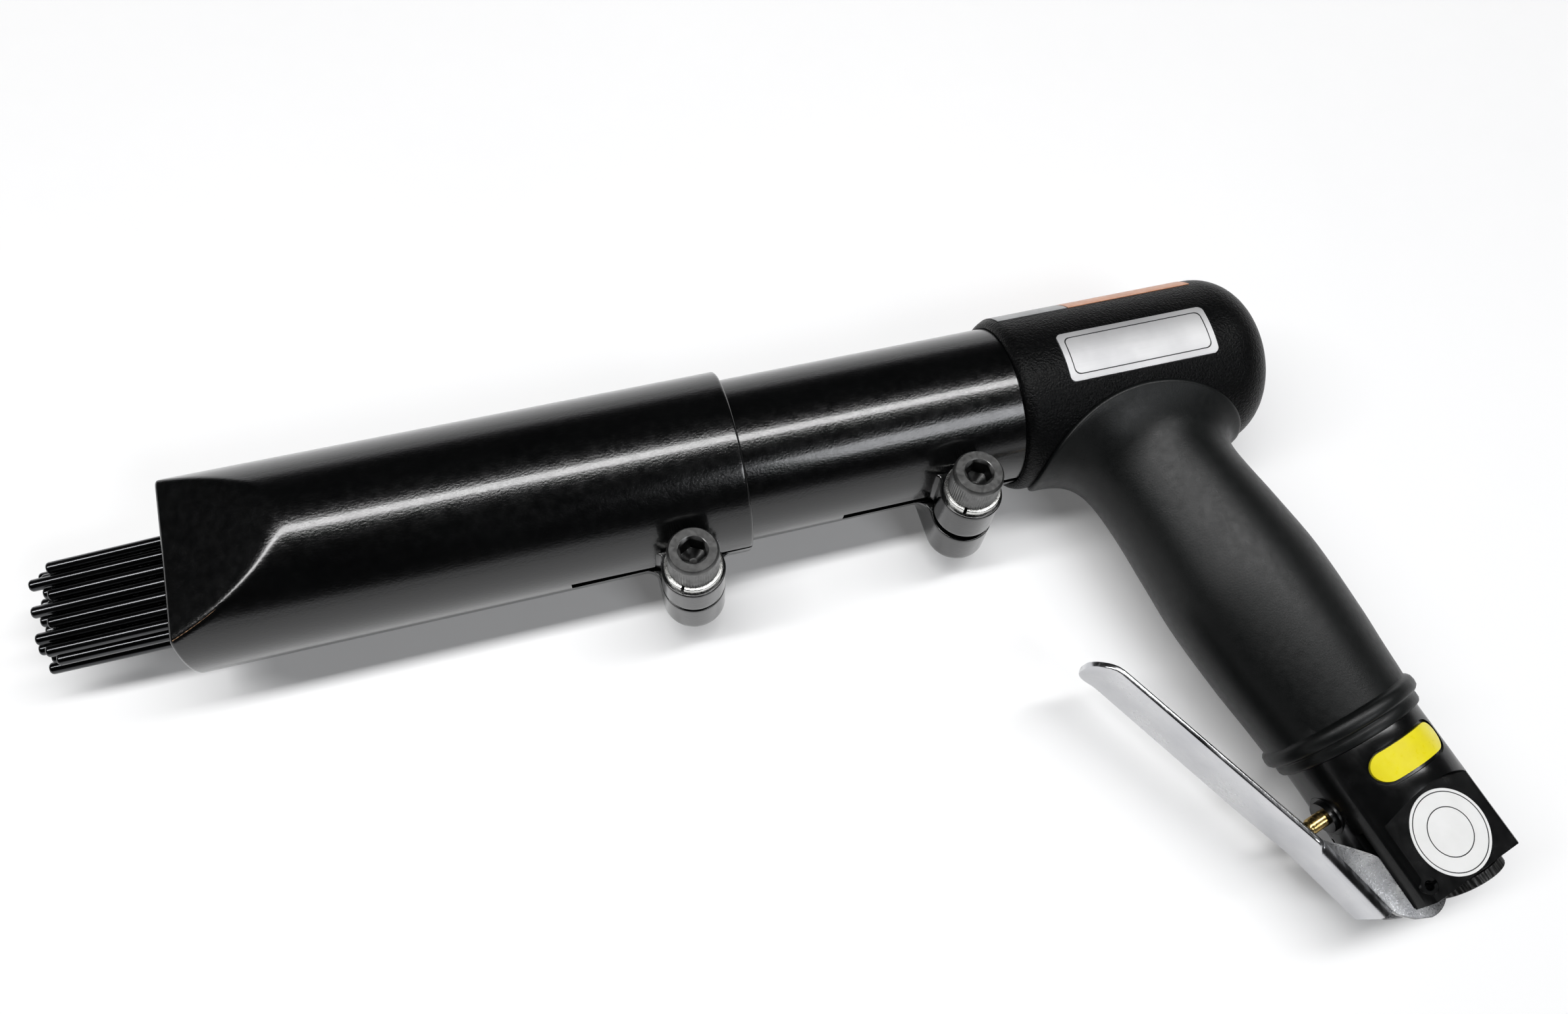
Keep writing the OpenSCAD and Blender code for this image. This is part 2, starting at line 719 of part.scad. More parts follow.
module piston() {
    color("#a5a7a9") lay_down() difference() {
        barrel_rod(piston_d / 2, piston_end - piston_len, piston_end);
        barrel_rod(piston_d / 5, piston_end - piston_len / 2, piston_end + over);
        for (groove = [1 : 3]) difference() {
            barrel_rod(piston_d / 2 + over, piston_end - groove * piston_len / 4 - piston_groove_w / 2,
                piston_end - groove * piston_len / 4 + piston_groove_w / 2);
            barrel_rod(piston_d / 2 - piston_groove_t, piston_end - piston_len, piston_end);
        }
    }
}

// Ring of air ports through a piece of the distributor
module ports(x0, x1) {
    for (i = [0 : port_count - 1]) rotate([360 * (i + 0.5) / port_count, 0, 0])
        translate([0, port_ring_r, 0]) barrel_rod(port_d / 2, x0, x1);
}

module valve_seat() {
    color("#9a9c9e") lay_down() difference() {
        barrel_rod(cylinder_r, seat_x, seat_x + valve_seat_t);
        ports(seat_x - over, seat_x + valve_seat_t + over);
        pin_hole(seat_x - over, seat_x + valve_seat_t + over);
    }
}

module valve_plate() {
    color("#b5b7b9") lay_down() difference() {
        barrel_rod(valve_plate_d / 2, plate_x, plate_x + valve_plate_t);
        barrel_rod(valve_plate_d / 8, cap_x, cap_x + chamber_t);
    }
}

// Cap: holds the valve plate in its front chamber and takes air from a groove round its rim
module valve_cap() {
    color("#9a9c9e") lay_down() difference() {
        barrel_rod(cylinder_r, cap_x, cap_end);
        barrel_rod(valve_plate_d / 2 + rest_gap, cap_x - over, cap_x + chamber_t);
        difference() {
            barrel_rod(cylinder_r + over, cap_groove_x, cap_groove_x + cap_groove_w);
            barrel_rod(cylinder_r - cap_groove_t, cap_groove_x - over, cap_groove_x + cap_groove_w + over);
        }
        ports(cap_x, cap_groove_x + cap_groove_w);
        pin_hole(cap_x - over, pin_end);
    }
}

// Coned washer that presses the distributor against the cylinder
module valve_spring() {
    color("#86888a") lay_down() along_barrel(cap_end + face_gap) rotate_extrude() polygon([
        [cone_washer_bore_r, 0],
        [cone_washer_bore_r, cone_washer_t],
        [cone_washer_r, cone_washer_h],
        [cone_washer_r, cone_washer_h - cone_washer_t]
    ]);
}

module locating_pin() {
    color("#b0b2b4") lay_down() translate([0, -pin_y, 0])
        barrel_rod(locating_pin_d / 2, pin_start + face_gap, pin_end - face_gap);
}

// Barrel rod whose rear edge is rounded about the head's edge ring
module round_end(r, x0) {
    edge_r = r - edge_ring_r;
    along_barrel(0) rotate_extrude() {
        translate([0, x0]) square([r, edge_ring_x - x0]);
        translate([0, edge_ring_x]) intersection() {
            square([r, edge_r]);
            union() {
                square([edge_ring_r, edge_r]);
                translate([edge_ring_r, 0]) circle(r = edge_r);
            }
        }
    }
}

// Outline with two round ends, as long and as high as asked
module pill(l, h) {
    square([l - h, h], center = true);
    for (side = [-1, 1]) translate([side * (l - h) / 2, 0]) circle(d = h);
}

// Stands an outline on the handle's upper side, square to it
module on_upper_side(u, at, y0, y1) {
    translate([u, y0, at]) rotate([-90, 0, 0]) linear_extrude(y1 - y0) children();
}

// Slots that the lever's ears swing in
module ear_slots() {
    for (side = [-1, 1]) translate([-neck_r - over, side * (ear_w - lever_t) / 2, slot_top])
        translate([0, -lever_t / 2 - slot_gap, 0])
            cube([neck_r + over + slot_back, lever_t + 2 * slot_gap, valve_body_end + over - slot_top]);
}

module flat_cuts() {
    for (side = [0, 1]) mirror([0, side, 0]) translate([0, flat_t / 2, flat_top + flat_round])
        rotate([-90, 0, 0]) cylinder(h = neck_r, r = flat_round);
}

// Cast body: head cup, handle core and valve body in one piece
module housing() {
    color("#202123") lay_down() difference() {
        union() {
            round_end(cup_r, cup_x);
            on_handle() {
                translate([0, 0, core_top]) cylinder(h = grip_len - core_top + over, r = core_r);
                translate([0, 0, grip_len + face_gap]) cylinder(h = neck_len, r = neck_r);
            }
        }
        barrel_rod(tube_bore_r, cup_x - over, cup_bore_end);
        on_handle() {
            flat_cuts();
            ear_slots();
            difference() {
                on_upper_side(insert_back, insert_at, 0, neck_r + over) pill(insert_l + 2 * insert_margin,
                    insert_h + 2 * insert_margin);
                cylinder(h = valve_body_end, r = neck_r - insert_depth);
            }
            cross_rod(bush_d / 2 + run_gap, stem_h, -neck_r - over, bush_inner + over);
            cross_rod(cross_bore_d / 2, stem_h, bush_inner, cross_bore_back);
            translate([passage_back, 0, 0]) cylinder(h = stem_h, d = passage_d);
            translate([inlet_back, 0, stem_h]) cylinder(h = neck_len, d = inlet_core_d);
            translate([inlet_back, 0, spigot_top - screen_t - 2 * face_gap])
                cylinder(h = neck_len, d = spigot_d + 2 * run_gap);
            translate([-pin_front, 0, pin_h]) rotate([90, 0, 0])
                cylinder(h = 2 * neck_r, d = pin_d + 2 * thread_gap, center = true);
        }
    }
}

module head_cover() {
    color("#1c1c1d") lay_down() difference() {
        union() {
            round_end(cover_r, head_x);
            barrel_rod(lip_r, head_x, head_x + lip_len);
        }
        round_end(cover_bore_r, head_x - over);
        on_handle() cylinder(h = 2 * cover_r, r = core_r + grip_gap);
    }
}

// A slice of the grip: its place along the handle, reach to the front and to the rear, and half thickness
module oval(section, h) {
    translate([(section[2] - section[1]) / 2, 0, section[0]])
        scale([(section[1] + section[2]) / 2, section[3], 1]) cylinder(h = h, r = 1, $fn = 40);
}

// Rubber grip: a swelling sleeve with two beads at its foot and a saddle that wraps the head's underside
module grip() {
    color("#242526") lay_down() difference() {
        union() {
            on_handle() {
                for (i = [0 : len(grip_sections) - 2]) hull() {
                    oval(grip_sections[i], section_t);
                    oval(grip_sections[i + 1], section_t);
                }
                hull() {
                    oval([bead_top, bead_w - bead_edge, bead_w - bead_edge, bead_t - bead_edge], bead_len);
                    oval([bead_top + bead_edge, bead_w, bead_w, bead_t], bead_len - 2 * bead_edge);
                }
                translate([0, 0, grip_len - foot_len]) cylinder(h = foot_len, r = foot_r);
            }
            intersection() {
                barrel_rod(cover_r + saddle_t, head_x, cover_end);
                translate([saddle_x, -saddle_y, -2 * cover_r]) cylinder(h = 4 * cover_r, r = saddle_r);
            }
        }
        barrel_rod(cover_r + grip_gap, head_x - lip_len, cover_end + over);
        on_handle() cylinder(h = grip_len + over, r = core_r + grip_gap);
    }
}

// Part of a thin sleeve on the head, between two angles up from the side away from the handle
module wrapped_strip(x0, length, from_angle, angle, t) {
    along_barrel(x0) rotate([0, 0, 90 + from_angle]) rotate_extrude(angle = angle)
        translate([cover_r, 0]) square([t, length]);
}

module nameplate() {
    color("#c4c6c8") lay_down() intersection() {
        difference() {
            barrel_rod(cover_r + plate_t, head_x, cover_end);
            barrel_rod(cover_r, head_x - over, cover_end + over);
        }
        translate([nameplate_x, 0, 0]) linear_extrude(2 * cover_r) {
            square([nameplate_l - 2 * nameplate_corner, nameplate_w], center = true);
            square([nameplate_l, nameplate_w - 2 * nameplate_corner], center = true);
            for (i = [-1, 1]) for (j = [-1, 1])
                translate([i * nameplate_l, j * nameplate_w] / 2 - [i, j] * nameplate_corner)
                    circle(r = nameplate_corner);
        }
    }
}

module grey_label() {
    color("#8f9193") lay_down()
        wrapped_strip(label_x, grey_label_l, label_start_angle, label_angle, film_t);
}

module orange_label() {
    start_x = label_x + grey_label_l + label_gap;
    color("#cf8a63") lay_down()
        wrapped_strip(start_x, orange_label_l, label_start_angle, label_angle, film_t);
}

module oil_plate() {
    color("#e8de1c") lay_down() on_handle() intersection() {
        difference() {
            cylinder(h = valve_body_end, r = neck_r - insert_sink);
            translate([0, 0, -over]) cylinder(h = valve_body_end + 2 * over, r = neck_r - insert_depth);
        }
        on_upper_side(insert_back, insert_at, 0, neck_r + over) pill(insert_l, insert_h);
    }
}

module round_label() {
    color("#f2f2f0") lay_down() on_handle()
        on_upper_side(round_label_back, label_at, flat_t / 2, flat_t / 2 + film_t) circle(d = round_label_d);
}

// Throttle lever: a bent sheet with two ears that reach back to the pin
module throttle_lever() {
    pin = [pin_front, pin_h];
    color("#c8cacc") lay_down() on_handle() difference() {
        union() {
            difference() {
                lever_plate(-lever_w / 2, lever_w / 2) polygon(concat(lever_side(1), lever_side_back(-1)));
                for (side = [0, 1]) mirror([0, side, 0]) translate([-tip_front, ear_w / 2, lever_knee[1]])
                    cube([tip_front, lever_w, lever_w + pin_up]);
            }
            for (y0 = [-ear_w / 2, ear_in]) lever_plate(y0, y0 + lever_t) {
                translate(pin) circle(r = ear_r);
                polygon([
                    lever_knee,
                    [pin_front + ear_r * 0.78, pin_h - ear_r * 1.5],
                    pin - [0, ear_r * 0.9],
                    pin + [0, ear_r * 0.9],
                    lever_foot
                ]);
            }
        }
        translate([-pin_front, 0, pin_h]) rotate([90, 0, 0])
            cylinder(h = 2 * lever_w, d = pin_d + 2 * run_gap, center = true);
    }
}

// Roll pin with its slit
module lever_pin() {
    color("#55575a") lay_down() on_handle() translate([-pin_front, 0, pin_h]) rotate([90, 0, 0])
        difference() {
            cylinder(h = pin_len, d = pin_d, center = true);
            cylinder(h = pin_len + 2 * over, d = pin_bore_d, center = true);
            translate([0, -pin_slit_w / 2, -pin_len]) cube([pin_d, pin_slit_w, 2 * pin_len]);
        }
}

module throttle_stem() {
    color("#b08d4a") lay_down() on_handle()
        cross_rod(stem_d / 2, stem_h, stem_front, valve_front + stem_socket);
}

module throttle_valve() {
    color("#2a2a2b") lay_down() on_handle() difference() {
        cross_rod(throttle_valve_d / 2, stem_h, valve_front, valve_front + valve_t);
        cross_rod(stem_d / 2 + thread_gap, stem_h, valve_front - over, valve_front + stem_socket + face_gap);
    }
}

module throttle_spring() {
    color("#8d8f91") lay_down() on_handle() translate([throttle_spring_u, 0, stem_h])
        coil(throttle_coils, throttle_mean_r, throttle_wire_d, throttle_room);
}

module stem_bush() {
    color("#a98644") lay_down() on_handle() difference() {
        union() {
            cross_rod(bush_d / 2, stem_h, -neck_r, bush_inner);
            cross_rod(bush_collar_r, stem_h, -neck_r - bush_collar, bush_inner);
        }
        cross_rod(stem_d / 2 + run_gap, stem_h, -neck_r - 2 * bush_collar, bush_inner + over);
    }
}

// Inlet: the bush with its thread core, a gasket under the flange and a screen above the spigot
module inlet_bush() {
    color("#2a2a2c") lay_down() on_handle() translate([inlet_back, 0, 0]) difference() {
        union() {
            translate([0, 0, spigot_top])
                cylinder(h = spigot_len + gasket_t + 2 * face_gap + over, d = spigot_d);
            translate([0, 0, valve_body_end + gasket_t + 2 * face_gap]) cylinder(h = flange_h, d = flange_d);
        }
        translate([0, 0, spigot_top - over]) cylinder(h = neck_len, d = inlet_core_d);
    }
}

module inlet_gasket() {
    color("#3a3330") lay_down() on_handle() translate([inlet_back, 0, valve_body_end + face_gap])
        difference() {
            cylinder(h = gasket_t, d = flange_d - 2 * gasket_margin);
            translate([0, 0, -over]) cylinder(h = gasket_t + 2 * over, d = spigot_d + 2 * run_gap);
        }
}

module inlet_screen() {
    color("#b9a875") lay_down() on_handle() translate([inlet_back, 0, spigot_top - screen_t - face_gap])
        difference() {
            cylinder(h = screen_t, d = spigot_d - 2 * run_gap);
            for (i = [-2 : 2]) for (j = [-2 : 2]) translate([mesh_pitch * i, mesh_pitch * j, -over])
                cylinder(h = screen_t + 2 * over, d = mesh_hole_d, $fn = 24);
        }
}

front_tube();
front_clamp_screw();
front_lock_washer();
rear_tube();
rear_clamp_screw();
rear_lock_washer();
needles();
needle_holder();
return_spring();
spring_seat();
anvil();
cylinder_node();  // cylinder
cylinder_seal();
piston();
valve_seat();
valve_plate();
valve_cap();
valve_spring();
locating_pin();
housing();
head_cover();
grip();
nameplate();
grey_label();
orange_label();
oil_plate();
round_label();
throttle_lever();
lever_pin();
throttle_stem();
throttle_valve();
throttle_spring();
stem_bush();
inlet_bush();
inlet_gasket();
inlet_screen();
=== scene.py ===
import json
import math
from collections import namedtuple
from math import cos, pi, radians, sin, sqrt

import bmesh
import bpy
from mathutils import Euler, Matrix, Vector


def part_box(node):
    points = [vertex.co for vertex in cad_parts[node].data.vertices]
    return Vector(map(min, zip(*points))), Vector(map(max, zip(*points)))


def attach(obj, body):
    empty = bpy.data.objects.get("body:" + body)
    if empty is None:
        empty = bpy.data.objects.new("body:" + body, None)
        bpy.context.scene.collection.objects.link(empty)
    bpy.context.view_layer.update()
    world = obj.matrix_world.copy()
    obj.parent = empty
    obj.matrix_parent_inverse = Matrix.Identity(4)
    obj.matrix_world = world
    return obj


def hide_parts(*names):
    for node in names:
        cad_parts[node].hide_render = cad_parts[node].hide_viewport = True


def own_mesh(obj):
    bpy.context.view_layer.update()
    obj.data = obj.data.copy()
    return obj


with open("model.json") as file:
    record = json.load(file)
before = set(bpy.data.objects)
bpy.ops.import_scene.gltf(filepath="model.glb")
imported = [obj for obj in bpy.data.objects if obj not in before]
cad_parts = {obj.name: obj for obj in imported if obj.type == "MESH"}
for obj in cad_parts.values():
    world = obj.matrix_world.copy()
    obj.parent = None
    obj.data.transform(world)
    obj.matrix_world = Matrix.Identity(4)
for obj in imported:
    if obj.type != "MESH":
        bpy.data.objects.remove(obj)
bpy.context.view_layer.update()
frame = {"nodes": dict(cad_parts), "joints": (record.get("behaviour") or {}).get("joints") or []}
nodes = frame["nodes"]
joints = {j["name"]: j for j in frame["joints"]}

# Places: the tool's own axes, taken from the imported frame.
# Lengths are in millimetres here, and in metres in the materials and from the table on.
MM = 0.001
PIN_H, PIN_FRONT = 146.9, 12.5  # lever pin: down the handle from the barrel, and forward of its middle
hinge = joints["throttle_hinge"]
back_axis = Vector(joints["stem_slide"]["axis"])
ROLL = math.atan2(hinge["axis"][1], -hinge["axis"][2])
LEAN = math.asin(back_axis.y / cos(ROLL))
piston_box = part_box("piston")
ORIGIN = Vector((
    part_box("front_tube")[1].x,
    (piston_box[0].y + piston_box[1].y) / 2,
    (piston_box[0].z + piston_box[1].z) / 2,
))
TOOL = Matrix.Translation(ORIGIN) @ Matrix.Rotation(ROLL, 4, "X") @ Matrix.Scale(MM, 4)
pin_tool = TOOL.inverted() @ Vector(hinge["pos_m"])
HANDLE_X = pin_tool.x + PIN_FRONT * cos(LEAN) - PIN_H * sin(LEAN)
HANDLE = TOOL @ Matrix((
    (cos(LEAN), 0, sin(LEAN), HANDLE_X),
    (sin(LEAN), 0, -cos(LEAN), 0),
    (0, 1, 0, 0),
    (0, 0, 0, 1),
))
STEM_H = PIN_H - 22.6  # throttle stem, down the handle

# Sizes that several pieces share
FRONT_R, FRONT_BORE, FRONT_LEN = 24.03, 21.58, 137.5
REAR_R, REAR_BORE = 21.52, 19.12
HEAD_X, COVER_R, BODY_END = 72.5, 23.72, 150.7

# Clamps: a screw through a boss that a slit divides, one on each tube
CLAMP_TURN, SLIT_DROP = radians(7.6), 4.5
Clamp = namedtuple("Clamp", "end body tube_r y up down gap frame")


def make_clamp(end, body, tube_r, x, y, up, down, gap):
    """A clamp whose frame has the screw as its z axis and the middle of the boss's gap as its origin."""
    turned = TOOL @ Matrix.Rotation(-CLAMP_TURN, 4, "X")
    return Clamp(end, body, tube_r, y, up, down, gap, turned @ Matrix.Translation((x, -y, -SLIT_DROP)))


FRONT = make_clamp("front", "front_guide", FRONT_R, x=-17.0, y=29.33, up=8.7, down=11.3, gap=1.0)
REAR = make_clamp("rear", "body", REAR_R, x=HEAD_X - 15.8, y=26.82, up=11.6, down=12.7, gap=2.4)
CLAMPS = (FRONT, REAR)

# Mesh tools: a shape is a list of points and a list of faces
WELD, CARVING_WELD = 2e-7, 1e-5  # in metres, and in millimetres while carving


def added(name, data):
    """A new object in the scene."""
    obj = bpy.data.objects.new(name, data)
    bpy.context.scene.collection.objects.link(obj)
    return obj


def smooth_mesh(name, shape, weld):
    """A Blender mesh with doubled points welded and its faces turned outwards."""
    mesh = bpy.data.meshes.new(name)
    mesh.from_pydata([tuple(v) for v in shape[0]], [], shape[1])
    bm = bmesh.new()
    bm.from_mesh(mesh)
    bmesh.ops.remove_doubles(bm, verts=bm.verts, dist=weld)
    bmesh.ops.recalc_face_normals(bm, faces=bm.faces)
    for face in bm.faces:
        face.smooth = True
    bm.to_mesh(mesh)
    bm.free()
    return mesh


def piece(name, shape, matrix, look, body, slot, *stands_for, sharp=38):
    """A visible piece on a body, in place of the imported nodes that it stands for."""
    mesh = smooth_mesh(name, moved(shape, matrix), WELD)
    mesh.set_sharp_from_angle(angle=radians(sharp))
    mesh.materials.append(look)
    obj = added(name, mesh)
    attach(obj, body)
    if stands_for:
        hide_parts(*stands_for)
    return obj


def around(count, start=0.0):
    """Angles of equal steps round a full turn."""
    return [2 * pi * (k + start) / count for k in range(count)]


def quarter(steps):
    """Angles from 0 to 90 degrees."""
    return [pi / 2 * i / steps for i in range(steps + 1)]


def polar(count, z, radius):
    """A loop round z whose radius depends on the point's number and angle."""
    reach = [(radius(k, a), a) for k, a in enumerate(around(count))]
    return [(r * cos(a), r * sin(a), z) for r, a in reach]


def circle(r, z, count):
    return polar(count, z, lambda k, a: r)


def rounded(left, right, low, high, r, steps):
    """A rectangle with round corners, from its right side and the upper corner on."""
    corners = ((right - r, high - r, 0), (left + r, high - r, 90),
               (left + r, low + r, 180), (right - r, low + r, 270))
    points = []
    for x, y, start in corners:
        for k in range(steps + 1):
            a = radians(start + 90 * k / steps)
            points.append((x + r * cos(a), y + r * sin(a)))
    return points


def rings(loops, cap_start=True, cap_end=True):
    """Faces that join equal loops of points one after another."""
    n = len(loops[0])
    verts = [p for loop in loops for p in loop]
    faces = []
    for i in range(len(loops) - 1):
        for k in range(n):
            a, b = i * n + k, i * n + (k + 1) % n
            faces.append((a, b, b + n, a + n))
    if cap_start:
        faces.append(tuple(range(n)))
    if cap_end:
        faces.append(tuple(reversed(range((len(loops) - 1) * n, len(loops) * n))))
    return verts, faces


def hollow(loops):
    """Loops joined one after another, and the last to the first."""
    return rings(loops + [loops[0]], False, False)


def lathe(profile, count):
    """Turns (radius, z) points about z."""
    return rings([circle(r, z, count) for r, z in profile])


def join(*shapes):
    verts, faces = [], []
    for shape_verts, shape_faces in shapes:
        base = len(verts)
        verts += [tuple(p) for p in shape_verts]
        faces += [tuple(i + base for i in face) for face in shape_faces]
    return verts, faces


def moved(shape, matrix):
    return [tuple(matrix @ Vector(p)) for p in shape[0]], shape[1]


def carved(shape, *cutters):
    """A closed shape less some others."""
    stock = added("carving", smooth_mesh("carving", shape, CARVING_WELD))
    tools = [added("carving", smooth_mesh("carving", c, CARVING_WELD)) for c in cutters]
    for tool in tools:
        cut = stock.modifiers.new("cut", "BOOLEAN")
        cut.operation = "DIFFERENCE"
        cut.solver = "EXACT"
        cut.object = tool
    graph = bpy.context.evaluated_depsgraph_get()
    result = bpy.data.meshes.new_from_object(stock.evaluated_get(graph))
    verts = [tuple(v.co) for v in result.vertices]
    faces = [tuple(p.vertices) for p in result.polygons]
    for mesh in [result, stock.data] + [tool.data for tool in tools]:
        bpy.data.meshes.remove(mesh)
    return verts, faces


def prism(outline, low, high):
    """An (x, y) outline carried from one z to another."""
    return rings([[(x, y, z) for x, y in outline] for z in (low, high)])


def bead(points, radii, sides=8):
    """A thin string of varying thickness along a line of points."""
    aside = Vector((0.3, 0.5, 0.8))
    last = len(points) - 1
    loops = []
    for i, (p, r) in enumerate(zip(points, radii)):
        along = (points[min(i + 1, last)] - points[max(i - 1, 0)]).normalized()
        u = along.cross(aside).normalized()
        v = along.cross(u)
        loops.append([tuple(p + (u * cos(a) + v * sin(a)) * r) for a in around(sides)])
    return rings(loops)


def wave(x):
    """A sine between 0 and 1."""
    return 0.5 + 0.5 * sin(x)


def filleted(points, radii, steps):
    """A 2-D line whose inner corners are rounded."""
    out = [points[0]]
    for i in range(1, len(points) - 1):
        p = points[i]
        before, after = (points[i - 1] - p).normalized(), (points[i + 1] - p).normalized()
        half = math.acos(max(-1, min(1, before.dot(after)))) / 2
        reach = radii[i - 1] / math.tan(half)
        start, stop = p + before * reach, p + after * reach
        for k in range(steps + 1):
            t = k / steps
            out.append((1 - t) ** 2 * start + 2 * t * (1 - t) * p + t * t * stop)
    out.append(points[-1])
    return out


def spline(table, x):
    """Smooth values through the rows of a table, by its first column."""
    last = len(table) - 2
    i = next((k for k in range(last) if x <= table[k + 1][0]), last)
    before, here, there, after = table[max(0, i - 1)], table[i], table[i + 1], table[min(last + 1, i + 2)]
    span = there[0] - here[0]
    t = (x - here[0]) / span
    out = []
    for c in range(1, len(here)):
        slope_here = (there[c] - before[c]) / (there[0] - before[0]) * span
        slope_there = (after[c] - here[c]) / (after[0] - here[0]) * span
        out.append((2 * t ** 3 - 3 * t ** 2 + 1) * here[c] + (t ** 3 - 2 * t ** 2 + t) * slope_here
                   + (-2 * t ** 3 + 3 * t ** 2) * there[c] + (t ** 3 - t ** 2) * slope_there)
    return out


# Materials: noise scales are per metre and bump depths in metres
class Look:
    """A procedural material: one Principled shader with node-made colour, roughness and bump."""

    def __init__(self, name, metallic=0.0, specular=0.5, coat=0.0, coat_roughness=0.1):
        self.material = bpy.data.materials.new(name)
        self.material.use_nodes = True
        self.tree = self.material.node_tree
        self.shader = self.tree.nodes["Principled BSDF"]
        self.fill(self.shader, {"Metallic": metallic, "Specular IOR Level": specular,
                                "Coat Weight": coat, "Coat Roughness": coat_roughness})
        self.place = self.node("ShaderNodeTexCoord", {}).outputs["Object"]
        self.normal = None

    def fill(self, node, inputs):
        """Sets inputs of a node to values, or links them to outputs of other nodes."""
        for key, value in inputs.items():
            if isinstance(value, bpy.types.NodeSocket):
                self.tree.links.new(value, node.inputs[key])
            else:
                node.inputs[key].default_value = value

    def node(self, kind, inputs, **settings):
        n = self.tree.nodes.new(kind)
        for key, value in settings.items():
            setattr(n, key, value)
        self.fill(n, inputs)
        return n

    def stretch(self, scale, turn=(0, 0, 0)):
        inputs = {"Vector": self.place, "Rotation": turn, "Scale": scale}
        return self.node("ShaderNodeMapping", inputs).outputs["Vector"]

    def noise(self, scale, detail=3.0, roughness=0.55, vector=None):
        inputs = {"Vector": vector or self.place, "Scale": scale, "Detail": detail, "Roughness": roughness}
        return self.node("ShaderNodeTexNoise", inputs).outputs["Fac"]

    def cells(self, scale):
        return self.node("ShaderNodeTexVoronoi", {"Vector": self.place, "Scale": scale}).outputs["Distance"]

    def ramp(self, value, low, high, start=0.3, stop=0.7):
        n = self.node("ShaderNodeValToRGB", {"Fac": value})
        for element, position, colour in zip(n.color_ramp.elements, (start, stop), (low, high)):
            element.position = position
            element.color = (*colour, 1)
        return n.outputs["Color"]

    def span(self, value, low, high, start=0.3, stop=0.7, curve="LINEAR"):
        inputs = {"Value": value, "From Min": start, "From Max": stop, "To Min": low, "To Max": high}
        return self.node("ShaderNodeMapRange", inputs, interpolation_type=curve).outputs["Result"]

    def mix(self, factor, a, b):
        inputs = {"Factor": factor, "A": (*a, 1), "B": (*b, 1)}
        return self.node("ShaderNodeMix", inputs, data_type="RGBA").outputs["Result"]

    def math(self, operation, a, b):
        return self.node("ShaderNodeMath", {0: a, 1: b}, operation=operation).outputs["Value"]

    def colour(self, socket):
        self.fill(self.shader, {"Base Color": socket})

    def rough(self, socket):
        self.fill(self.shader, {"Roughness": socket})

    def bump(self, socket, depth, strength):
        """Adds a bump on top of those made before."""
        inputs = {"Height": socket, "Distance": depth, "Strength": strength}
        if self.normal:
            inputs["Normal"] = self.normal
        self.normal = self.node("ShaderNodeBump", inputs).outputs["Normal"]
        self.fill(self.shader, {"Normal": self.normal})


def make_paint():
    k = Look("gloss_black_paint", coat=0.45)
    k.colour(k.ramp(k.noise(60, 4), (0.001, 0.0011, 0.0012), (0.002, 0.0022, 0.0023)))
    k.rough(k.span(k.noise(420, 3), 0.15, 0.23))
    k.bump(k.noise(1.0, 3, 0.55, k.stretch((1300, 1900, 1900))), 0.000045, 0.9)
    return k.material


def make_cover():
    k = Look("crinkle_black_cover", specular=0.1)
    grain = k.noise(1250, 3, 0.55)
    cells = k.cells(1900)
    k.colour(k.ramp(grain, (0.0009, 0.001, 0.0011), (0.0022, 0.0024, 0.0026)))
    k.rough(k.span(cells, 0.26, 0.42, 0.1, 0.7))
    k.bump(cells, 0.0001, 0.9)
    k.bump(grain, 0.00018, 0.9)
    return k.material


def make_plain(name, tones, gloss, grain, relief, **shader):
    """A look with one noise each for its colour, its roughness and its bump."""
    k = Look(name, **shader)
    colour_noise, rough_noise, bump_noise = (k.noise(*settings) for settings in grain)
    k.colour(k.ramp(colour_noise, *tones))
    k.rough(k.span(rough_noise, *gloss))
    k.bump(bump_noise, *relief)
    return k.material


def make_grip():
    tones = (0.0024, 0.0029, 0.0029), (0.0042, 0.005, 0.005)
    grain = (45, 4), (500, 4), (2000, 3, 0.6)
    return make_plain("grip_rubber", tones, (0.36, 0.45), grain, (0.00003, 0.9), specular=0.31)


def make_cast():
    k = Look("cast_black", specular=0.42)
    k.colour(k.ramp(k.noise(80, 4), (0.0018, 0.002, 0.0021), (0.0034, 0.0036, 0.0038)))
    k.rough(k.span(k.noise(300, 4), 0.19, 0.28))
    k.bump(k.noise(260, 3, 0.5), 0.00002, 0.8)
    k.bump(k.noise(1500, 3, 0.55), 0.000012, 0.8)
    return k.material


def make_oxide(name, *tones):
    grain = (500, 4), (900, 4), (1900, 3)
    return make_plain(name, tones, (0.3, 0.44), grain, (0.00001, 0.8), metallic=0.9)


def make_chip(name, dark, light):
    k = Look(name, specular=0.6)
    flecks = k.noise(1800, 4, 0.6)
    k.colour(k.ramp(flecks, dark, light, 0.4, 0.6))
    k.rough(k.span(flecks, 0.3, 0.5))
    k.bump(flecks, 0.00006, 0.9)
    return k.material


def make_zinc():
    tones = (0.5, 0.5, 0.48), (0.78, 0.78, 0.76)
    grain = (700, 4), (1300, 4), (1500, 3)
    return make_plain("bright_zinc", tones, (0.2, 0.34), grain, (0.000005, 0.6), metallic=1.0)


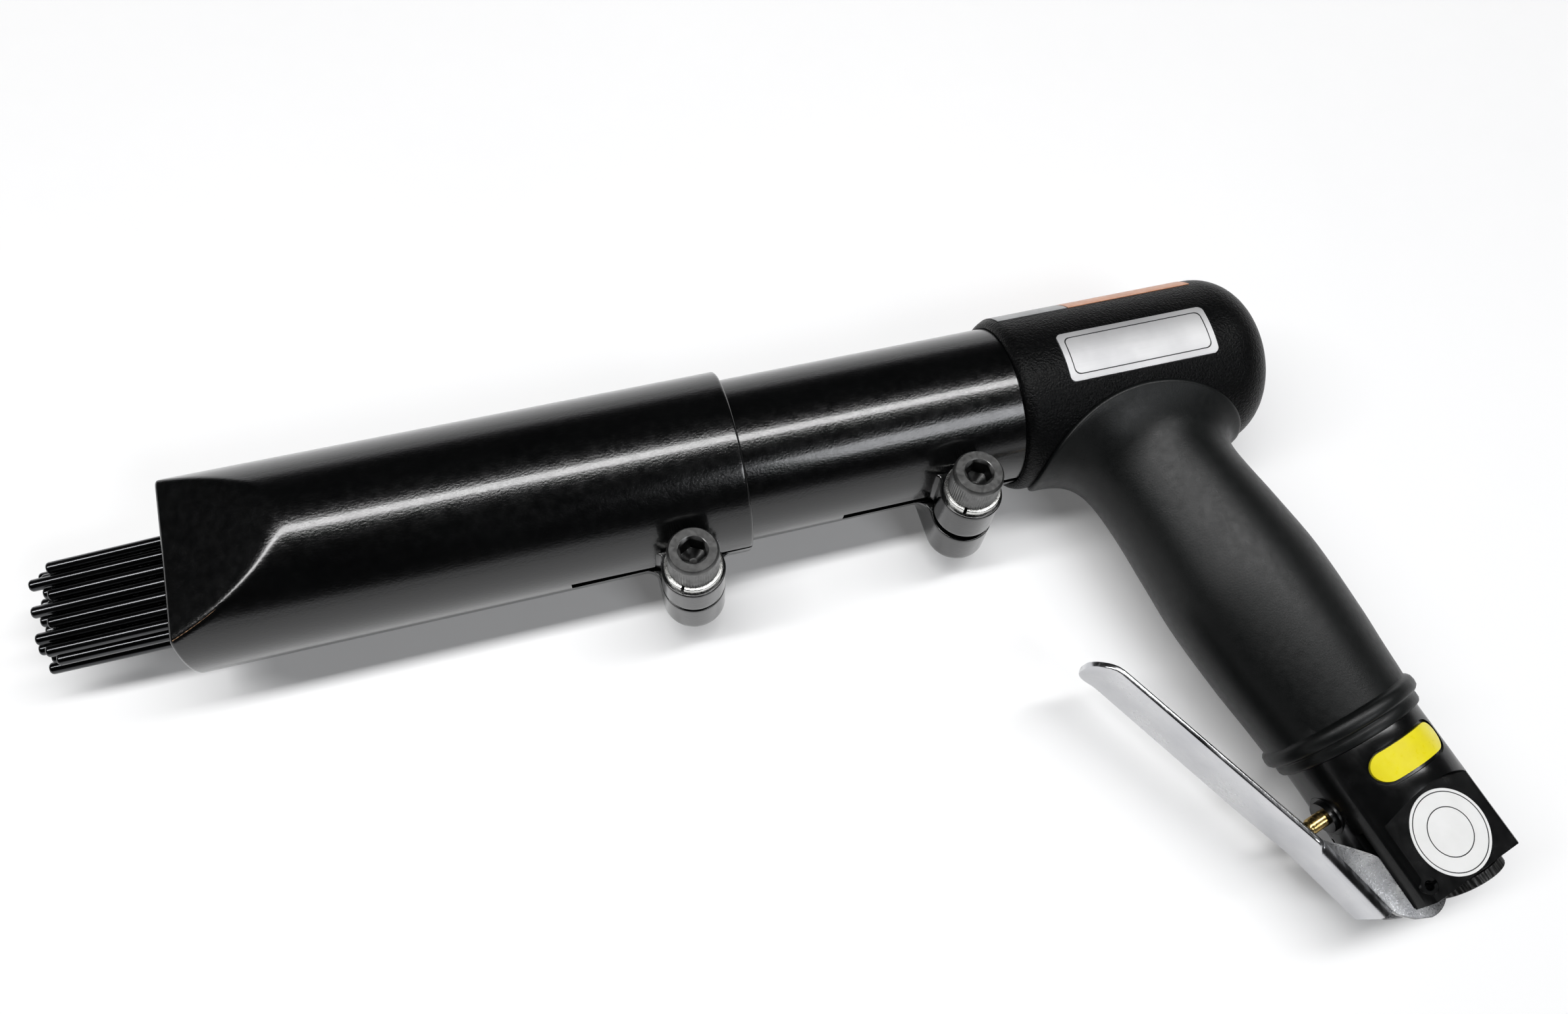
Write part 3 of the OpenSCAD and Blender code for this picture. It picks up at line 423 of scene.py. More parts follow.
def make_lever():
    """Plated sheet with cloudy gloss and faint marks along the lever."""
    k = Look("plated_lever", metallic=1.0)
    lever_turn = -LEAN - radians(17.7)
    marks = k.noise(1.0, 4, 0.6, k.stretch((900, 60, 900), (0, 0, lever_turn)))
    cloud = k.noise(55, 5, 0.6)
    k.colour(k.mix(k.span(cloud, 0, 1, 0.35, 0.65), (0.54, 0.545, 0.565), (0.66, 0.66, 0.67)))
    k.rough(k.math("ADD", k.span(cloud, 0.12, 0.27, 0.35, 0.65), k.span(marks, -0.02, 0.07, 0.4, 0.7)))
    k.bump(marks, 0.000012, 0.5)
    return k.material


def make_rubbed():
    k = Look("rubbed_lever_ear", metallic=1.0)
    flecks = k.noise(2200, 4, 0.65)
    k.colour(k.ramp(k.noise(240, 4), (0.2, 0.2, 0.205), (0.34, 0.34, 0.34), 0.35, 0.65))
    k.rough(k.span(flecks, 0.42, 0.22, 0.35, 0.65))
    k.bump(flecks, 0.00006, 0.9)
    return k.material


def make_brass():
    tones = (0.5, 0.33, 0.11), (0.72, 0.53, 0.22)
    grain = (400, 4), (1200, 3), (1600, 2)
    return make_plain("turned_brass", tones, (0.16, 0.32), grain, (0.00002, 0.5), metallic=1.0)


def make_steel(name, dark, light, low, high):
    grain = (260, 4), (900, 3), (1900, 3)
    return make_plain(name, (dark, light), (low, high), grain, (0.00002, 0.5), metallic=1.0)


def make_needles():
    """Blackened wire, drawn along the barrel."""
    k = Look("blackened_needles", metallic=1.0)
    tone = k.noise(1.0, 3, 0.5, k.stretch((40, 700, 700)))
    k.colour(k.ramp(tone, (0.045, 0.046, 0.048), (0.085, 0.086, 0.089)))
    k.rough(k.span(tone, 0.14, 0.21))
    k.bump(k.noise(1.0, 3, 0.5, k.stretch((120, 2200, 2200))), 0.000004, 0.8)
    return k.material


def make_plate():
    """Bare metal brushed along the barrel."""
    k = Look("brushed_plate", metallic=1.0)
    lines = k.noise(1.0, 4, 0.6, k.stretch((60, 5200, 5200)))
    cloud = k.noise(70, 3)
    k.colour(k.mix(k.span(cloud, 0, 1), (0.56, 0.56, 0.57), (0.68, 0.68, 0.685)))
    k.rough(k.span(lines, 0.56, 0.64))
    k.bump(lines, 0.000004, 0.5)
    return k.material


def make_film(name, dark, light, roughness=0.35):
    gloss = roughness - 0.05, roughness + 0.1
    grain = (160, 4), (700, 3), (900, 3)
    return make_plain(name, (dark, light), gloss, grain, (0.00002, 0.4),
                      specular=0.45, coat=0.2, coat_roughness=0.2)


def make_rubber():
    tones = (0.012, 0.012, 0.012), (0.026, 0.025, 0.025)
    grain = (300, 4), (700, 3), (1500, 3)
    return make_plain("seal_rubber", tones, (0.55, 0.75), grain, (0.00003, 0.6), specular=0.35)


paint, cover, grip_rubber, cast = make_paint(), make_cover(), make_grip(), make_cast()
oxide = make_oxide("black_oxide_steel", (0.11, 0.11, 0.109), (0.18, 0.18, 0.177))
# Dark oxide for the inlet ring, also used as painted shade inside the screw sockets
dark_oxide_and_socket_shade = make_oxide("dark_oxide_and_painted_socket_shade", (0.025, 0.025, 0.025), (0.055, 0.055, 0.054))
zinc, plated, rubbed, brass, plate = make_zinc(), make_lever(), make_rubbed(), make_brass(), make_plate()
steel = make_steel("machined_steel", (0.34, 0.34, 0.35), (0.52, 0.52, 0.53), 0.25, 0.42)
wire = make_steel("spring_wire", (0.25, 0.25, 0.26), (0.42, 0.42, 0.43), 0.25, 0.4)
# Darker steel for the cylinder inside the tubes: painted shade where it shows through the clamping slits
slit_shade_steel = make_steel("steel_darkened_as_slit_shade", (0.04, 0.04, 0.043), (0.09, 0.09, 0.094), 0.3, 0.45)
black_needle, seal = make_needles(), make_rubber()
grey_film = make_film("grey_film", (0.27, 0.275, 0.28), (0.34, 0.345, 0.35))
orange_film = make_film("orange_film", (0.56, 0.24, 0.12), (0.66, 0.3, 0.16))
yellow_film = make_film("yellow_film", (0.8, 0.68, 0.012), (0.87, 0.77, 0.02), 0.3)
white_film = make_film("white_film", (0.8, 0.8, 0.79), (0.86, 0.86, 0.855), 0.4)
ink = make_film("black_ink", (0.008, 0.008, 0.009), (0.016, 0.016, 0.017), 0.5)
bare_edge = make_chip("chipped_edge", (0.05, 0.05, 0.05), (0.7, 0.7, 0.69))
rust_edge = make_chip("rusted_edge", (0.05, 0.025, 0.012), (0.4, 0.23, 0.12))

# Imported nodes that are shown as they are
CAD_LOOKS = {
    "housing": cast, "needle_holder": steel, "spring_seat": steel,
    # the cylinder's darker steel paints the shade seen through the slits
    "anvil": steel, "cylinder": slit_shade_steel, "cylinder_seal": seal, "piston": steel, "valve_seat": steel,
    "valve_plate": steel, "valve_cap": steel, "valve_spring": wire, "locating_pin": steel,
    "nameplate": plate, "grey_label": grey_film, "orange_label": orange_film, "oil_plate": yellow_film,
    "round_label": white_film, "lever_pin": cast, "throttle_valve": seal, "stem_bush": cast,
    "inlet_gasket": seal, "inlet_screen": brass,
}
for name, look in CAD_LOOKS.items():
    mesh = nodes[name].data
    mesh.materials.clear()
    mesh.materials.append(look)

# Rounded edges on the casting
CAST_EDGE, CAST_ANGLE, CAST_WELD = 0.5, 32, 1e-6
weld = nodes["housing"].modifiers.new("weld", "WELD")
weld.merge_threshold = CAST_WELD
bevel = nodes["housing"].modifiers.new("edge", "BEVEL")
bevel.width = CAST_EDGE * MM
bevel.segments = 3
bevel.limit_method = "ANGLE"
bevel.angle_limit = radians(CAST_ANGLE)

# Tubes: painted, with soft rims, a pressed nose, clamping slits and spot faces
TUBE_COUNT, TUBE_SHARP, RIM_STEPS = 240, 30, 5
FRONT_RIM, REAR_RIM = 0.8, 0.5
NOSE_HALF, NOSE_BORE_HALF, NOSE_SOFT = 12.75, 10.14, 1.0
NOSE_RISE = math.tan(radians(21.6))
NOSE_STEP, NOSE_STEPS, NOSE_END = 0.9, 42, -98
FRONT_STEP, FRONT_STEPS, FRONT_LAST = 3.2, 30, -1.2
REAR_START, REAR_FIRST, REAR_STEP, REAR_STEPS, REAR_END = -62, -60, 3.0, 46, 78
STOP_X, STOP_BORE = -59, 17.02  # a stop at the rear tube's front end, for the spring seat
FRONT_SLIT_X, REAR_SLIT_X, SLIT_END, SLIT_LIFT, SLIT_PAST, SLIT_OVER = -47, 25, 3.2, 1.0, 16, 1
SPOT_R, SPOT_H, SPOT_COUNT = 7.5, 40, 96


def soft_min(a, b, k):
    """The smaller of two values, with the corner between them rounded."""
    near = max(k - abs(a - b), 0)
    return min(a, b) - near * near / (4 * k)


def flat_height(half, x):
    """Height of the nose's pressed flat above the barrel's axis."""
    return half + (x + FRONT_LEN) * NOSE_RISE


def nose(r, half):
    """Radius of a round tube that is pressed flat above and below towards its front end."""
    def radius(x, a):
        return soft_min(r, flat_height(half, x) / max(abs(sin(a)), 1e-6), NOSE_SOFT)
    return radius


def section(x, radius, drop=0.0):
    loop = []
    for a in around(TUBE_COUNT, 0.5):
        r = radius(x, a) - drop
        loop.append((x, r * cos(a), r * sin(a)))
    return loop


def shell(places, outer, inner, rim):
    """A tube between two radius functions, with rounded rims."""
    turns = quarter(RIM_STEPS)
    stations = [(places[0] + rim * (1 - cos(a)), rim * (1 - sin(a))) for a in turns]
    stations += [(x, 0.0) for x in places[1:-1]]
    stations += [(places[-1] - rim * (1 - sin(a)), rim * (1 - cos(a))) for a in turns]
    outside = [section(x, outer, drop) for x, drop in stations]
    return hollow(outside + [section(x, inner) for x in reversed(places)])


def slit(clamp, closed_x, mouth_x):
    """Cutter of a slit, wide at its closed end and as wide as the boss's gap at the rim."""
    inside, end, mouth = REAR_BORE / 2, SLIT_END / 2, clamp.gap / 2
    shape = prism([(closed_x, -end), (mouth_x, -mouth), (mouth_x, mouth), (closed_x, end)],
                  0, clamp.y + SLIT_PAST - inside)
    lay = Matrix.Rotation(-CLAMP_TURN, 4, "X") @ Matrix.Translation((0, -inside, SLIT_LIFT - SLIT_DROP))
    return moved(shape, lay @ Matrix.Rotation(pi / 2, 4, "X"))


def spot_face(clamp):
    """Cutter of the round face that the screw and its washer sit on."""
    shape = lathe([(SPOT_R, clamp.up), (SPOT_R, clamp.up + SPOT_H)], SPOT_COUNT)
    return moved(shape, TOOL.inverted() @ clamp.frame)


def front_tube():
    places = [-FRONT_LEN]
    places += [-FRONT_LEN + NOSE_STEP + NOSE_STEP * i for i in range(NOSE_STEPS)]
    places += [NOSE_END + FRONT_STEP * i for i in range(FRONT_STEPS)]
    places += [FRONT_LAST, 0]
    tube = shell(places, nose(FRONT_R, NOSE_HALF), nose(FRONT_BORE, NOSE_BORE_HALF), FRONT_RIM)
    return carved(tube, slit(FRONT, FRONT_SLIT_X, SLIT_OVER), spot_face(FRONT))


def rear_tube():
    places = [REAR_START] + [REAR_FIRST + REAR_STEP * i for i in range(REAR_STEPS)] + [REAR_END]
    tube = shell(places, lambda x, a: REAR_R, lambda x, a: STOP_BORE if x < STOP_X else REAR_BORE, REAR_RIM)
    return carved(tube, slit(REAR, REAR_SLIT_X, REAR_END + SLIT_OVER), spot_face(REAR))


# Clamp bosses: the upper half is a round post that meets the tube in a fillet, the lower one a straight web
BOSS_R, BOSS_SUNK, POST_FILLET, WEB_FILLET = 8.0, 1.6, 1.3, 3.2
BOSS_STEPS, BOSS_EDGE_STEPS, BOSS_FILLET_STEPS, BOSS_FRONT_STEPS = 12, 4, 10, 48
GAP_EDGE, POST_EDGE, WEB_EDGE = 0.3, 0.35, 0.9


def boss_level(clamp, z, inset, post):
    """Outline of a boss at one height: from the tube round its front and back to the tube."""
    half = BOSS_R - inset
    wall = clamp.y - sqrt(clamp.tube_r ** 2 - (z - SLIT_DROP) ** 2)
    fillet = POST_FILLET if post else WEB_FILLET
    cx, cy = half + fillet, wall - fillet
    start = 0.0
    if post:
        cx = sqrt((half + fillet) ** 2 - cy ** 2)
        start = math.atan2(cy, cx)
    side = [(cx, wall + BOSS_SUNK)]
    for k in range(BOSS_FILLET_STEPS + 1):
        a = pi / 2 + (pi / 2 + start) * k / BOSS_FILLET_STEPS
        side.append((cx + fillet * cos(a), cy + fillet * sin(a)))
    front = []
    for k in range(BOSS_FRONT_STEPS + 1):
        a = start - (pi + 2 * start) * k / BOSS_FRONT_STEPS
        front.append((half * cos(a), half * sin(a)))
    return [(x, y, z) for x, y in side + front + [(-x, y) for x, y in reversed(side)]]


def half_boss(clamp, low, high, low_edge, high_edge, post):
    turns = quarter(BOSS_EDGE_STEPS)
    levels = [(low + low_edge * (1 - cos(a)), low_edge * (1 - sin(a))) for a in turns]
    plain = high - low - low_edge - high_edge
    levels += [(low + low_edge + plain * i / BOSS_STEPS, 0) for i in range(1, BOSS_STEPS)]
    levels += [(high - high_edge * (1 - sin(a)), high_edge * (1 - cos(a))) for a in turns]
    return rings([boss_level(clamp, z, inset, post) for z, inset in levels])


def boss(clamp):
    return join(half_boss(clamp, clamp.gap / 2, clamp.up, GAP_EDGE, POST_EDGE, True),
                half_boss(clamp, -clamp.down, -clamp.gap / 2, WEB_EDGE, GAP_EDGE, False))


for clamp, tube in ((FRONT, front_tube()), (REAR, rear_tube())):
    node = clamp.end + "_tube"
    piece("painted_" + node, tube, TOOL, paint, clamp.body, "black_paint", node, sharp=TUBE_SHARP)
    piece(clamp.end + "_boss", boss(clamp), clamp.frame, paint, clamp.body, "black_paint", node)

# Worn edges: bare metal round the spot faces and a rubbed line on the nose
CHIP_STEPS, CHIP_THIN, CHIP_THICK = 40, 0.06, 0.22
RUB_STEPS, RUB_STEP, RUB_THIN, RUB_THICK = 34, 0.34, 0.03, 0.13


def chipped(clamp):
    """Bare metal along the arch where the spot face breaks through the paint."""
    wall = clamp.y - sqrt(clamp.tube_r ** 2 - (clamp.up - SLIT_DROP) ** 2)
    limit = math.acos(wall / SPOT_R)
    points, radii = [], []
    for i in range(-CHIP_STEPS, CHIP_STEPS + 1):
        t = limit * i / CHIP_STEPS
        out = clamp.y - SPOT_R * cos(t)
        height = SLIT_DROP + sqrt(clamp.tube_r ** 2 - out ** 2)
        points.append(Vector((SPOT_R * sin(t), SPOT_R * cos(t), height)))
        radii.append(CHIP_THIN + CHIP_THICK * wave(0.83 * i) * wave(0.31 * i + 1.3))
    return bead(points, radii)


def nose_rub():
    """A worn line along the edge of the pressed flat, thinner towards the rear."""
    radius = nose(FRONT_R, NOSE_HALF)
    points, radii = [], []
    for i in range(RUB_STEPS):
        x = -FRONT_LEN + FRONT_RIM + RUB_STEP * i
        a = pi - math.asin(flat_height(NOSE_HALF, x) / FRONT_R)
        r = radius(x, a)
        points.append(Vector((x, r * cos(a), r * sin(a))))
        radii.append(RUB_THIN + RUB_THICK * wave(1.9 * i) * (1 - i / RUB_STEPS))
    return bead(points, radii)


for clamp in CLAMPS:
    piece(clamp.end + "_spot_edge", chipped(clamp), clamp.frame, bare_edge, clamp.body, "steel")
piece("nose_rub", nose_rub(), TOOL, rust_edge, "front_guide", "steel")

# Head cover: a crinkled shell with a soft lip and a round rear end
COVER_END, COVER_BORE, COVER_WALL, COVER_MID, COVER_COUNT = 147.9, 21.65, 2.07, 100, 160
COVER_FIRST, COVER_STEP, COVER_STEPS = 79.4, 5.0, 12
DOME_R, DOME_STEPS, END_R, END_MID, END_CAP = 12.7, 16, 7.5, 4.0, 1.0
LIP_X, LIP_STEPS, RIM_X, RIM_LONG, RIM_DEEP = 74.6, 12, 77.4, 3.2, 2.02


def dome(r, turns):
    middle_r, middle_x = COVER_R - DOME_R, COVER_END - DOME_R
    return [(middle_r + r * cos(a), middle_x + r * sin(a)) for a in turns]


def head_cover():
    """A thin closed shell: along the inside from the rear to the lip, and back along the outside."""
    turns = quarter(DOME_STEPS)
    inside = [(r, COVER_END - COVER_WALL) for r in (END_CAP, END_R)]
    inside += dome(DOME_R - COVER_WALL, reversed(turns))
    inside += [(COVER_BORE, COVER_MID), (COVER_BORE, LIP_X)]
    outside = [(COVER_R - RIM_DEEP + RIM_DEEP * sin(a), RIM_X - RIM_LONG * cos(a))
               for a in quarter(LIP_STEPS)]
    outside += [(COVER_R, COVER_FIRST + COVER_STEP * i) for i in range(COVER_STEPS)]
    outside += dome(DOME_R, turns)
    outside += [(r, COVER_END) for r in (END_R, END_MID, END_CAP)]
    return lathe(inside + outside, COVER_COUNT)


along_barrel = TOOL @ Matrix.Rotation(pi / 2, 4, "Y")
piece("crinkled_cover", head_cover(), along_barrel, cover, "body", "cover_rubber", "head_cover")

# Grip: a swelling sleeve that flares into a saddle on the head, with two beads at its foot
GRIP_COUNT, SLEEVE_LOW, SLEEVE_TOP, SLEEVE_STEPS = 120, 105, 44, 32
# distance down the handle, and half widths to the front, the rear and the side
SECTIONS = [
    (29, 22.0, 20.2, 19.0), (36, 20.6, 19.3, 18.5), (52, 21.4, 21.0, 19.1), (67, 22.3, 22.3, 19.5),
    (86, 21.6, 21.6, 19.3), (97, 20.6, 20.6, 19.0), (105, 20.0, 20.0, 18.8),
]
# the foot's lower rim, lower bead and upper bead: half widths to the front and the side, and distance down
FOOT = [
    (15.7, 15.7, 112.2), (18.5, 18.5, 112.2), (19.05, 19.05, 111.95), (19.35, 19.3, 111.4),
    (19.4, 19.3, 110.2), (19.3, 19.2, 109.7), (19.5, 19.3, 109.35), (20.3, 19.9, 109.05),
    (20.85, 20.4, 108.5), (21.05, 20.55, 107.4), (20.85, 20.4, 106.2), (20.4, 20.0, 105.6),
    (20.0, 19.2, 105.3), (19.95, 18.8, 105.0),
]
# the saddle's edge is a circle seen from the side, wrapped round the head
SADDLE_X, SADDLE_Y, SADDLE_R, SADDLE_RISE, SADDLE_COUNT = HANDLE_X + 2.0, -49.2, 37.6, 1.3, 1440
SADDLE_RIM = [(0.4, 0.06), (0.75, 0.25), (0.95, 0.55), (1.0, 0.9), (0.9, 1.4)]  # along the head, and into it
FLARE_TOP, FLARE_TILT, FLARE_STEPS, FLARE_START, FLARE_STOP = 40, 1.5, 20, 0.62, 0.42
FLARE_LONG, FLARE_SIDE = 21, 19
SaddleEnd = namedtuple("SaddleEnd", "angle at out normal")


def oval_point(a, front, rear, side, h):
    return Vector((cos(a) * (rear if cos(a) > 0 else front), side * sin(a), h))


def oval(front, rear, side, h):
    return [oval_point(a, front, rear, side, h) for a in around(GRIP_COUNT)]


def saddle_edge():
    """Points of the saddle's edge on the head: rear end, near side, front end, far side."""
    r = COVER_R + SADDLE_RISE
    low_y = -r - SADDLE_Y
    low = math.atan2(low_y, sqrt(SADDLE_R ** 2 - low_y ** 2))
    points = []
    for a in around(SADDLE_COUNT):
        near = a <= pi
        t = low + (pi - 2 * low) * (a if near else 2 * pi - a) / pi
        x, y = SADDLE_X + SADDLE_R * cos(t), SADDLE_Y + SADDLE_R * sin(t)
        z = sqrt(max(0, r * r - y * y))
        points.append(Vector((x, y, z if near else -z)))
    return points


def to_handle(p):
    """A point of the tool in the handle's axes."""
    x = p.x - HANDLE_X
    return Vector((x * cos(LEAN) + p.y * sin(LEAN), p.z, x * sin(LEAN) - p.y * cos(LEAN)))


def saddle_ends():
    """Where the flare ends, which way is out along the head and which is off it, all in the handle's axes."""
    edge = saddle_edge()
    middle = Vector((SADDLE_X, -COVER_R, 0))
    ends = []
    for i, p in enumerate(edge):
        along = (edge[(i + 1) % len(edge)] - edge[i - 1]).normalized()
        normal = Vector((0, p.y, p.z)).normalized()
        out = normal.cross(along)
        if out.dot(p - middle) < 0:
            out = -out
        at = to_handle(p)
        angle = math.atan2(at.y / FLARE_SIDE, at.x / FLARE_LONG) % (2 * pi)
        ends.append(SaddleEnd(angle, at, to_handle(p + out) - at, to_handle(p + normal) - at))
    return ends


def flare(a, ends):
    """Points in one direction, from the sleeve up to the saddle's edge and over its rim."""
    end = min(ends, key=lambda e: abs((e.angle - a + pi) % (2 * pi) - pi))
    h = FLARE_TOP + FLARE_TILT * cos(a)
    start, below = (oval_point(a, *spline(SECTIONS, level), level) for level in (h, h + 1))
    gap = (end.at - start).length
    leave = start + (start - below).normalized() * gap * FLARE_START
    arrive = end.at - end.out * gap * FLARE_STOP
    points = []
    for s in range(FLARE_STEPS + 1):
        t = s / FLARE_STEPS
        points.append((1 - t) ** 3 * start + 3 * t * (1 - t) ** 2 * leave
                      + 3 * t * t * (1 - t) * arrive + t ** 3 * end.at)
    return points + [end.at + end.out * out - end.normal * down for out, down in SADDLE_RIM]


def grip():
    loops = [oval(u, u, w, h) for u, w, h in FOOT]
    for i in range(1, SLEEVE_STEPS + 1):
        h = SLEEVE_LOW - (SLEEVE_LOW - SLEEVE_TOP) * i / SLEEVE_STEPS
        loops.append(oval(*spline(SECTIONS, h), h))
    ends = saddle_ends()
    flares = [flare(a, ends) for a in around(GRIP_COUNT)]
    return rings(loops + list(zip(*flares)), False, False)


piece("grip_sleeve", grip(), HANDLE, grip_rubber, "body", "grip_rubber", "grip")

# Throttle lever: a bent plated sheet with rounded tip corners and folded ears.
# Its middle line has distances forward of the handle's middle and down the handle.
LEVER_T, LEVER_W, LEVER_EDGE, TIP_CORNER = 1.6, 19.0, 0.55, 7.5
EAR_W, EAR_R, EAR_EDGE, EAR_STEPS, FOLD_R, FOLD_STEPS = 14.0, 7.4, 0.35, 24, 2.6, 10
BEND_R, KNEE_R, BEND_STEPS = 9, 40, 10
STEP_LEN, STEP_LAP, TAPER, TAPER_LEN, TAPER_POWER = 5, 0.1, 2.7, 14, 1.2
TIP, BEND = Vector((50.4, PIN_H - 83.3)), Vector((46.5, PIN_H - 78.5))
KNEE, LEVER_FOOT = Vector((27.6, PIN_H - 19.2)), Vector((23.3, PIN_H + 1.6))
LEVER_LINE = filleted([TIP, BEND, KNEE, LEVER_FOOT], [BEND_R, KNEE_R], BEND_STEPS)
LEVER_LEN = sum((b - a).length for a, b in zip(LEVER_LINE, LEVER_LINE[1:]))
STEP_S = (TIP - BEND).length + (BEND - KNEE).length - 1.5  # distances from the tip, close to the knee
FOLD_S = STEP_S + 0.8


def lever_station(s):
    """Point of the lever's middle line at a distance from its tip, and the way through the sheet there."""
    for i in range(len(LEVER_LINE) - 1):
        d = LEVER_LINE[i + 1] - LEVER_LINE[i]
        if s <= d.length or i == len(LEVER_LINE) - 2:
            way = d.normalized()
            return LEVER_LINE[i] + way * s, Vector((-way.y, way.x))
        s -= d.length


def lever_width(s, side):
    """Half width on one side: the upper one steps in below the knee, the lower one tapers to the foot."""
    w = LEVER_W / 2
    if s < TIP_CORNER:
        w = LEVER_W / 2 - TIP_CORNER + sqrt(TIP_CORNER ** 2 - (TIP_CORNER - s) ** 2)
    if s > STEP_S and side > 0:
        t = min(1, (s - STEP_S) / STEP_LEN)
        w -= ((LEVER_W - EAR_W) / 2 + FOLD_R - STEP_LAP) * (3 * t * t - 2 * t ** 3)
    if s > STEP_S - TAPER_LEN and side < 0:
        w -= TAPER * ((s - STEP_S + TAPER_LEN) / (LEVER_LEN - STEP_S + TAPER_LEN)) ** TAPER_POWER
    return w


def lever_web():
    tip_stations = [0.02, 0.3, 0.8, 1.5, 2.4, 3.4, 4.6, 6, 7.5]
    start, steps, half, least = 9, 60, LEVER_T / 2, 0.4
    loops = []
    for s in tip_stations + [start + (LEVER_LEN - start) * i / steps for i in range(steps + 1)]:
        p, normal = lever_station(s)
        top, low = max(least, lever_width(s, 1)), max(least, lever_width(s, -1))
        loop = []
        for across, up in rounded(-low, top, -half, half, min(LEVER_EDGE, top / 2), steps=4):
            q = p + normal * up
            loop.append((-q.x, across, q.y))
        loops.append(loop)
    return rings(loops)


def fold(side):
    """Rounded fold between the lever's web and an ear."""
    steps = 24
    turns = quarter(FOLD_STEPS)
    loops = []
    for i in range(steps + 1):
        p, normal = lever_station(FOLD_S + (LEVER_LEN - FOLD_S) * i / steps)
        loop = []
        for r, angles in ((FOLD_R, turns), (FOLD_R - LEVER_T, reversed(turns))):
            for a in angles:
                q = p + normal * (FOLD_R - LEVER_T / 2 - r * cos(a))
                loop.append((-q.x, side * (EAR_W / 2 - FOLD_R + r * sin(a)), q.y))
        loops.append(loop)
    return rings(loops)


def ear_outline():
    """Ear seen from the side, from the fold round the pin and back."""
    upper = [(26.2, -20.2), (24.2, -18.4), (21.4, -15.6), (17.8, -11.8), (15.2, -8.2)]
    lower = [(17.6, 5.6), (20.8, 2.8), (21.7, 1.2)]
    start, sweep = -80, -200
    pin = Vector((PIN_FRONT, PIN_H))
    points = [Vector((x, PIN_H + y)) for x, y in upper]
    for k in range(EAR_STEPS + 1):
        a = radians(start + sweep * k / EAR_STEPS)
        points.append(pin + EAR_R * Vector((cos(a), sin(a))))
    return points + [Vector((x, PIN_H + y)) for x, y in lower]


def ear(side):
    outer, inner, soft, share = side * EAR_W / 2, side * (EAR_W / 2 - LEVER_T), side * EAR_EDGE, 0.3
    layers = ((inner, EAR_EDGE), (inner + soft, 0), (outer - soft, 0),
              (outer - soft * share, EAR_EDGE * share), (outer, EAR_EDGE))
    points = ear_outline()
    middle = sum(points, Vector((0, 0))) / len(points)
    loops = []
    for across, shrink in layers:
        shrunk = [p - (p - middle).normalized() * shrink for p in points]
        loops.append([(-q.x, across, q.y) for q in shrunk])
    return rings(loops)


web = join(lever_web(), fold(1), fold(-1))
piece("lever_web", web, HANDLE, plated, "lever", "lever_chrome", "throttle_lever")
piece("lever_ears", join(ear(1), ear(-1)), HANDLE, rubbed, "lever", "lever_chrome", "throttle_lever")

# Clamp screws: knurled heads with hexagon sockets, on split washers, and a dark lining inside each socket
# that paints the shade in it
SCREW_COUNT, SCREW_SHARP, SHANK_R, SHANK_END, SHANK_NECK = 120, 26, 4.0, -8.0, 0.4
WASHER_T, WASHER_BORE, WASHER_R, WASHER_EDGE = 2.2, 4.25, 7.3, 0.3
WASHER_TURN, WASHER_GAP, WASHER_STEPS = -125, 6.4, 96
# radius, height above the washer and depth of the knurl
HEAD_RINGS = [
    (4.25, 0, 0), (6.1, 0, 0), (6.4, 0.2, 0), (6.5, 0.45, 0), (6.5, 0.7, 0.2), (6.5, 6.2, 0.2),
    (6.45, 6.5, 0.05), (6.42, 7.1, 0), (6.36, 7.25, 0), (6.0, 7.85, 0), (5.85, 8.0, 0), (3.85, 8.0, 0),
    (3.65, 7.9, 0),
]
# width across flats and height of the socket's walls, then radius and height of its drilled floor
SOCKET_WALLS = [(6.1, 7.35), (6.0, 7.15), (6.0, 2.6)]
SOCKET_FLOOR = [(2.95, 2.5), (1.0, 1.1), (0.85, 1.05), (0.3, 1.05)]
# the same for a dark lining just inside the socket, which is painted shade
SHADE_LINING_WALLS = [(5.92, 7.1), (5.92, 2.7)]
SHADE_LINING_FLOOR = [(2.9, 2.6), (1.0, 1.2), (0.85, 1.15), (0.3, 1.15)]


def knurled(r, z, depth):
    """A circle with every other point set in."""
    return polar(SCREW_COUNT, z, lambda k, a: r - (depth if k % 2 else 0))


def hexagon(flats, z):
    def radius(k, a):
        off_middle = (math.degrees(a) + 30) % 60 - 30
        return flats / 2 / cos(radians(off_middle))
    return polar(SCREW_COUNT, z, radius)


def socket_loops(walls, floor, base):
    return ([hexagon(flats, base + h) for flats, h in walls]
            + [circle(r, base + h, SCREW_COUNT) for r, h in floor])


def screw(base):
    shank = [circle(SHANK_R, z, SCREW_COUNT) for z in (SHANK_END, base - SHANK_NECK)]
    head = [knurled(r, base + h, depth) for r, h, depth in HEAD_RINGS]
    return rings(shank + head + socket_loops(SOCKET_WALLS, SOCKET_FLOOR, base))


# A dark cup just inside a screw's socket: painted shade in the hole.
def socket_shade_lining(base):
    return rings(socket_loops(SHADE_LINING_WALLS, SHADE_LINING_FLOOR, base), False, True)


def washer(base):
    """A split ring with soft edges."""
    start = WASHER_TURN + WASHER_GAP / 2
    loops = []
    for i in range(WASHER_STEPS + 1):
        turn = radians(start + (360 - WASHER_GAP) * i / WASHER_STEPS)
        outline = rounded(WASHER_BORE, WASHER_R, 0, WASHER_T, WASHER_EDGE, steps=3)
        loops.append([(r * cos(turn), r * sin(turn), base + z) for r, z in outline])
    return rings(loops)


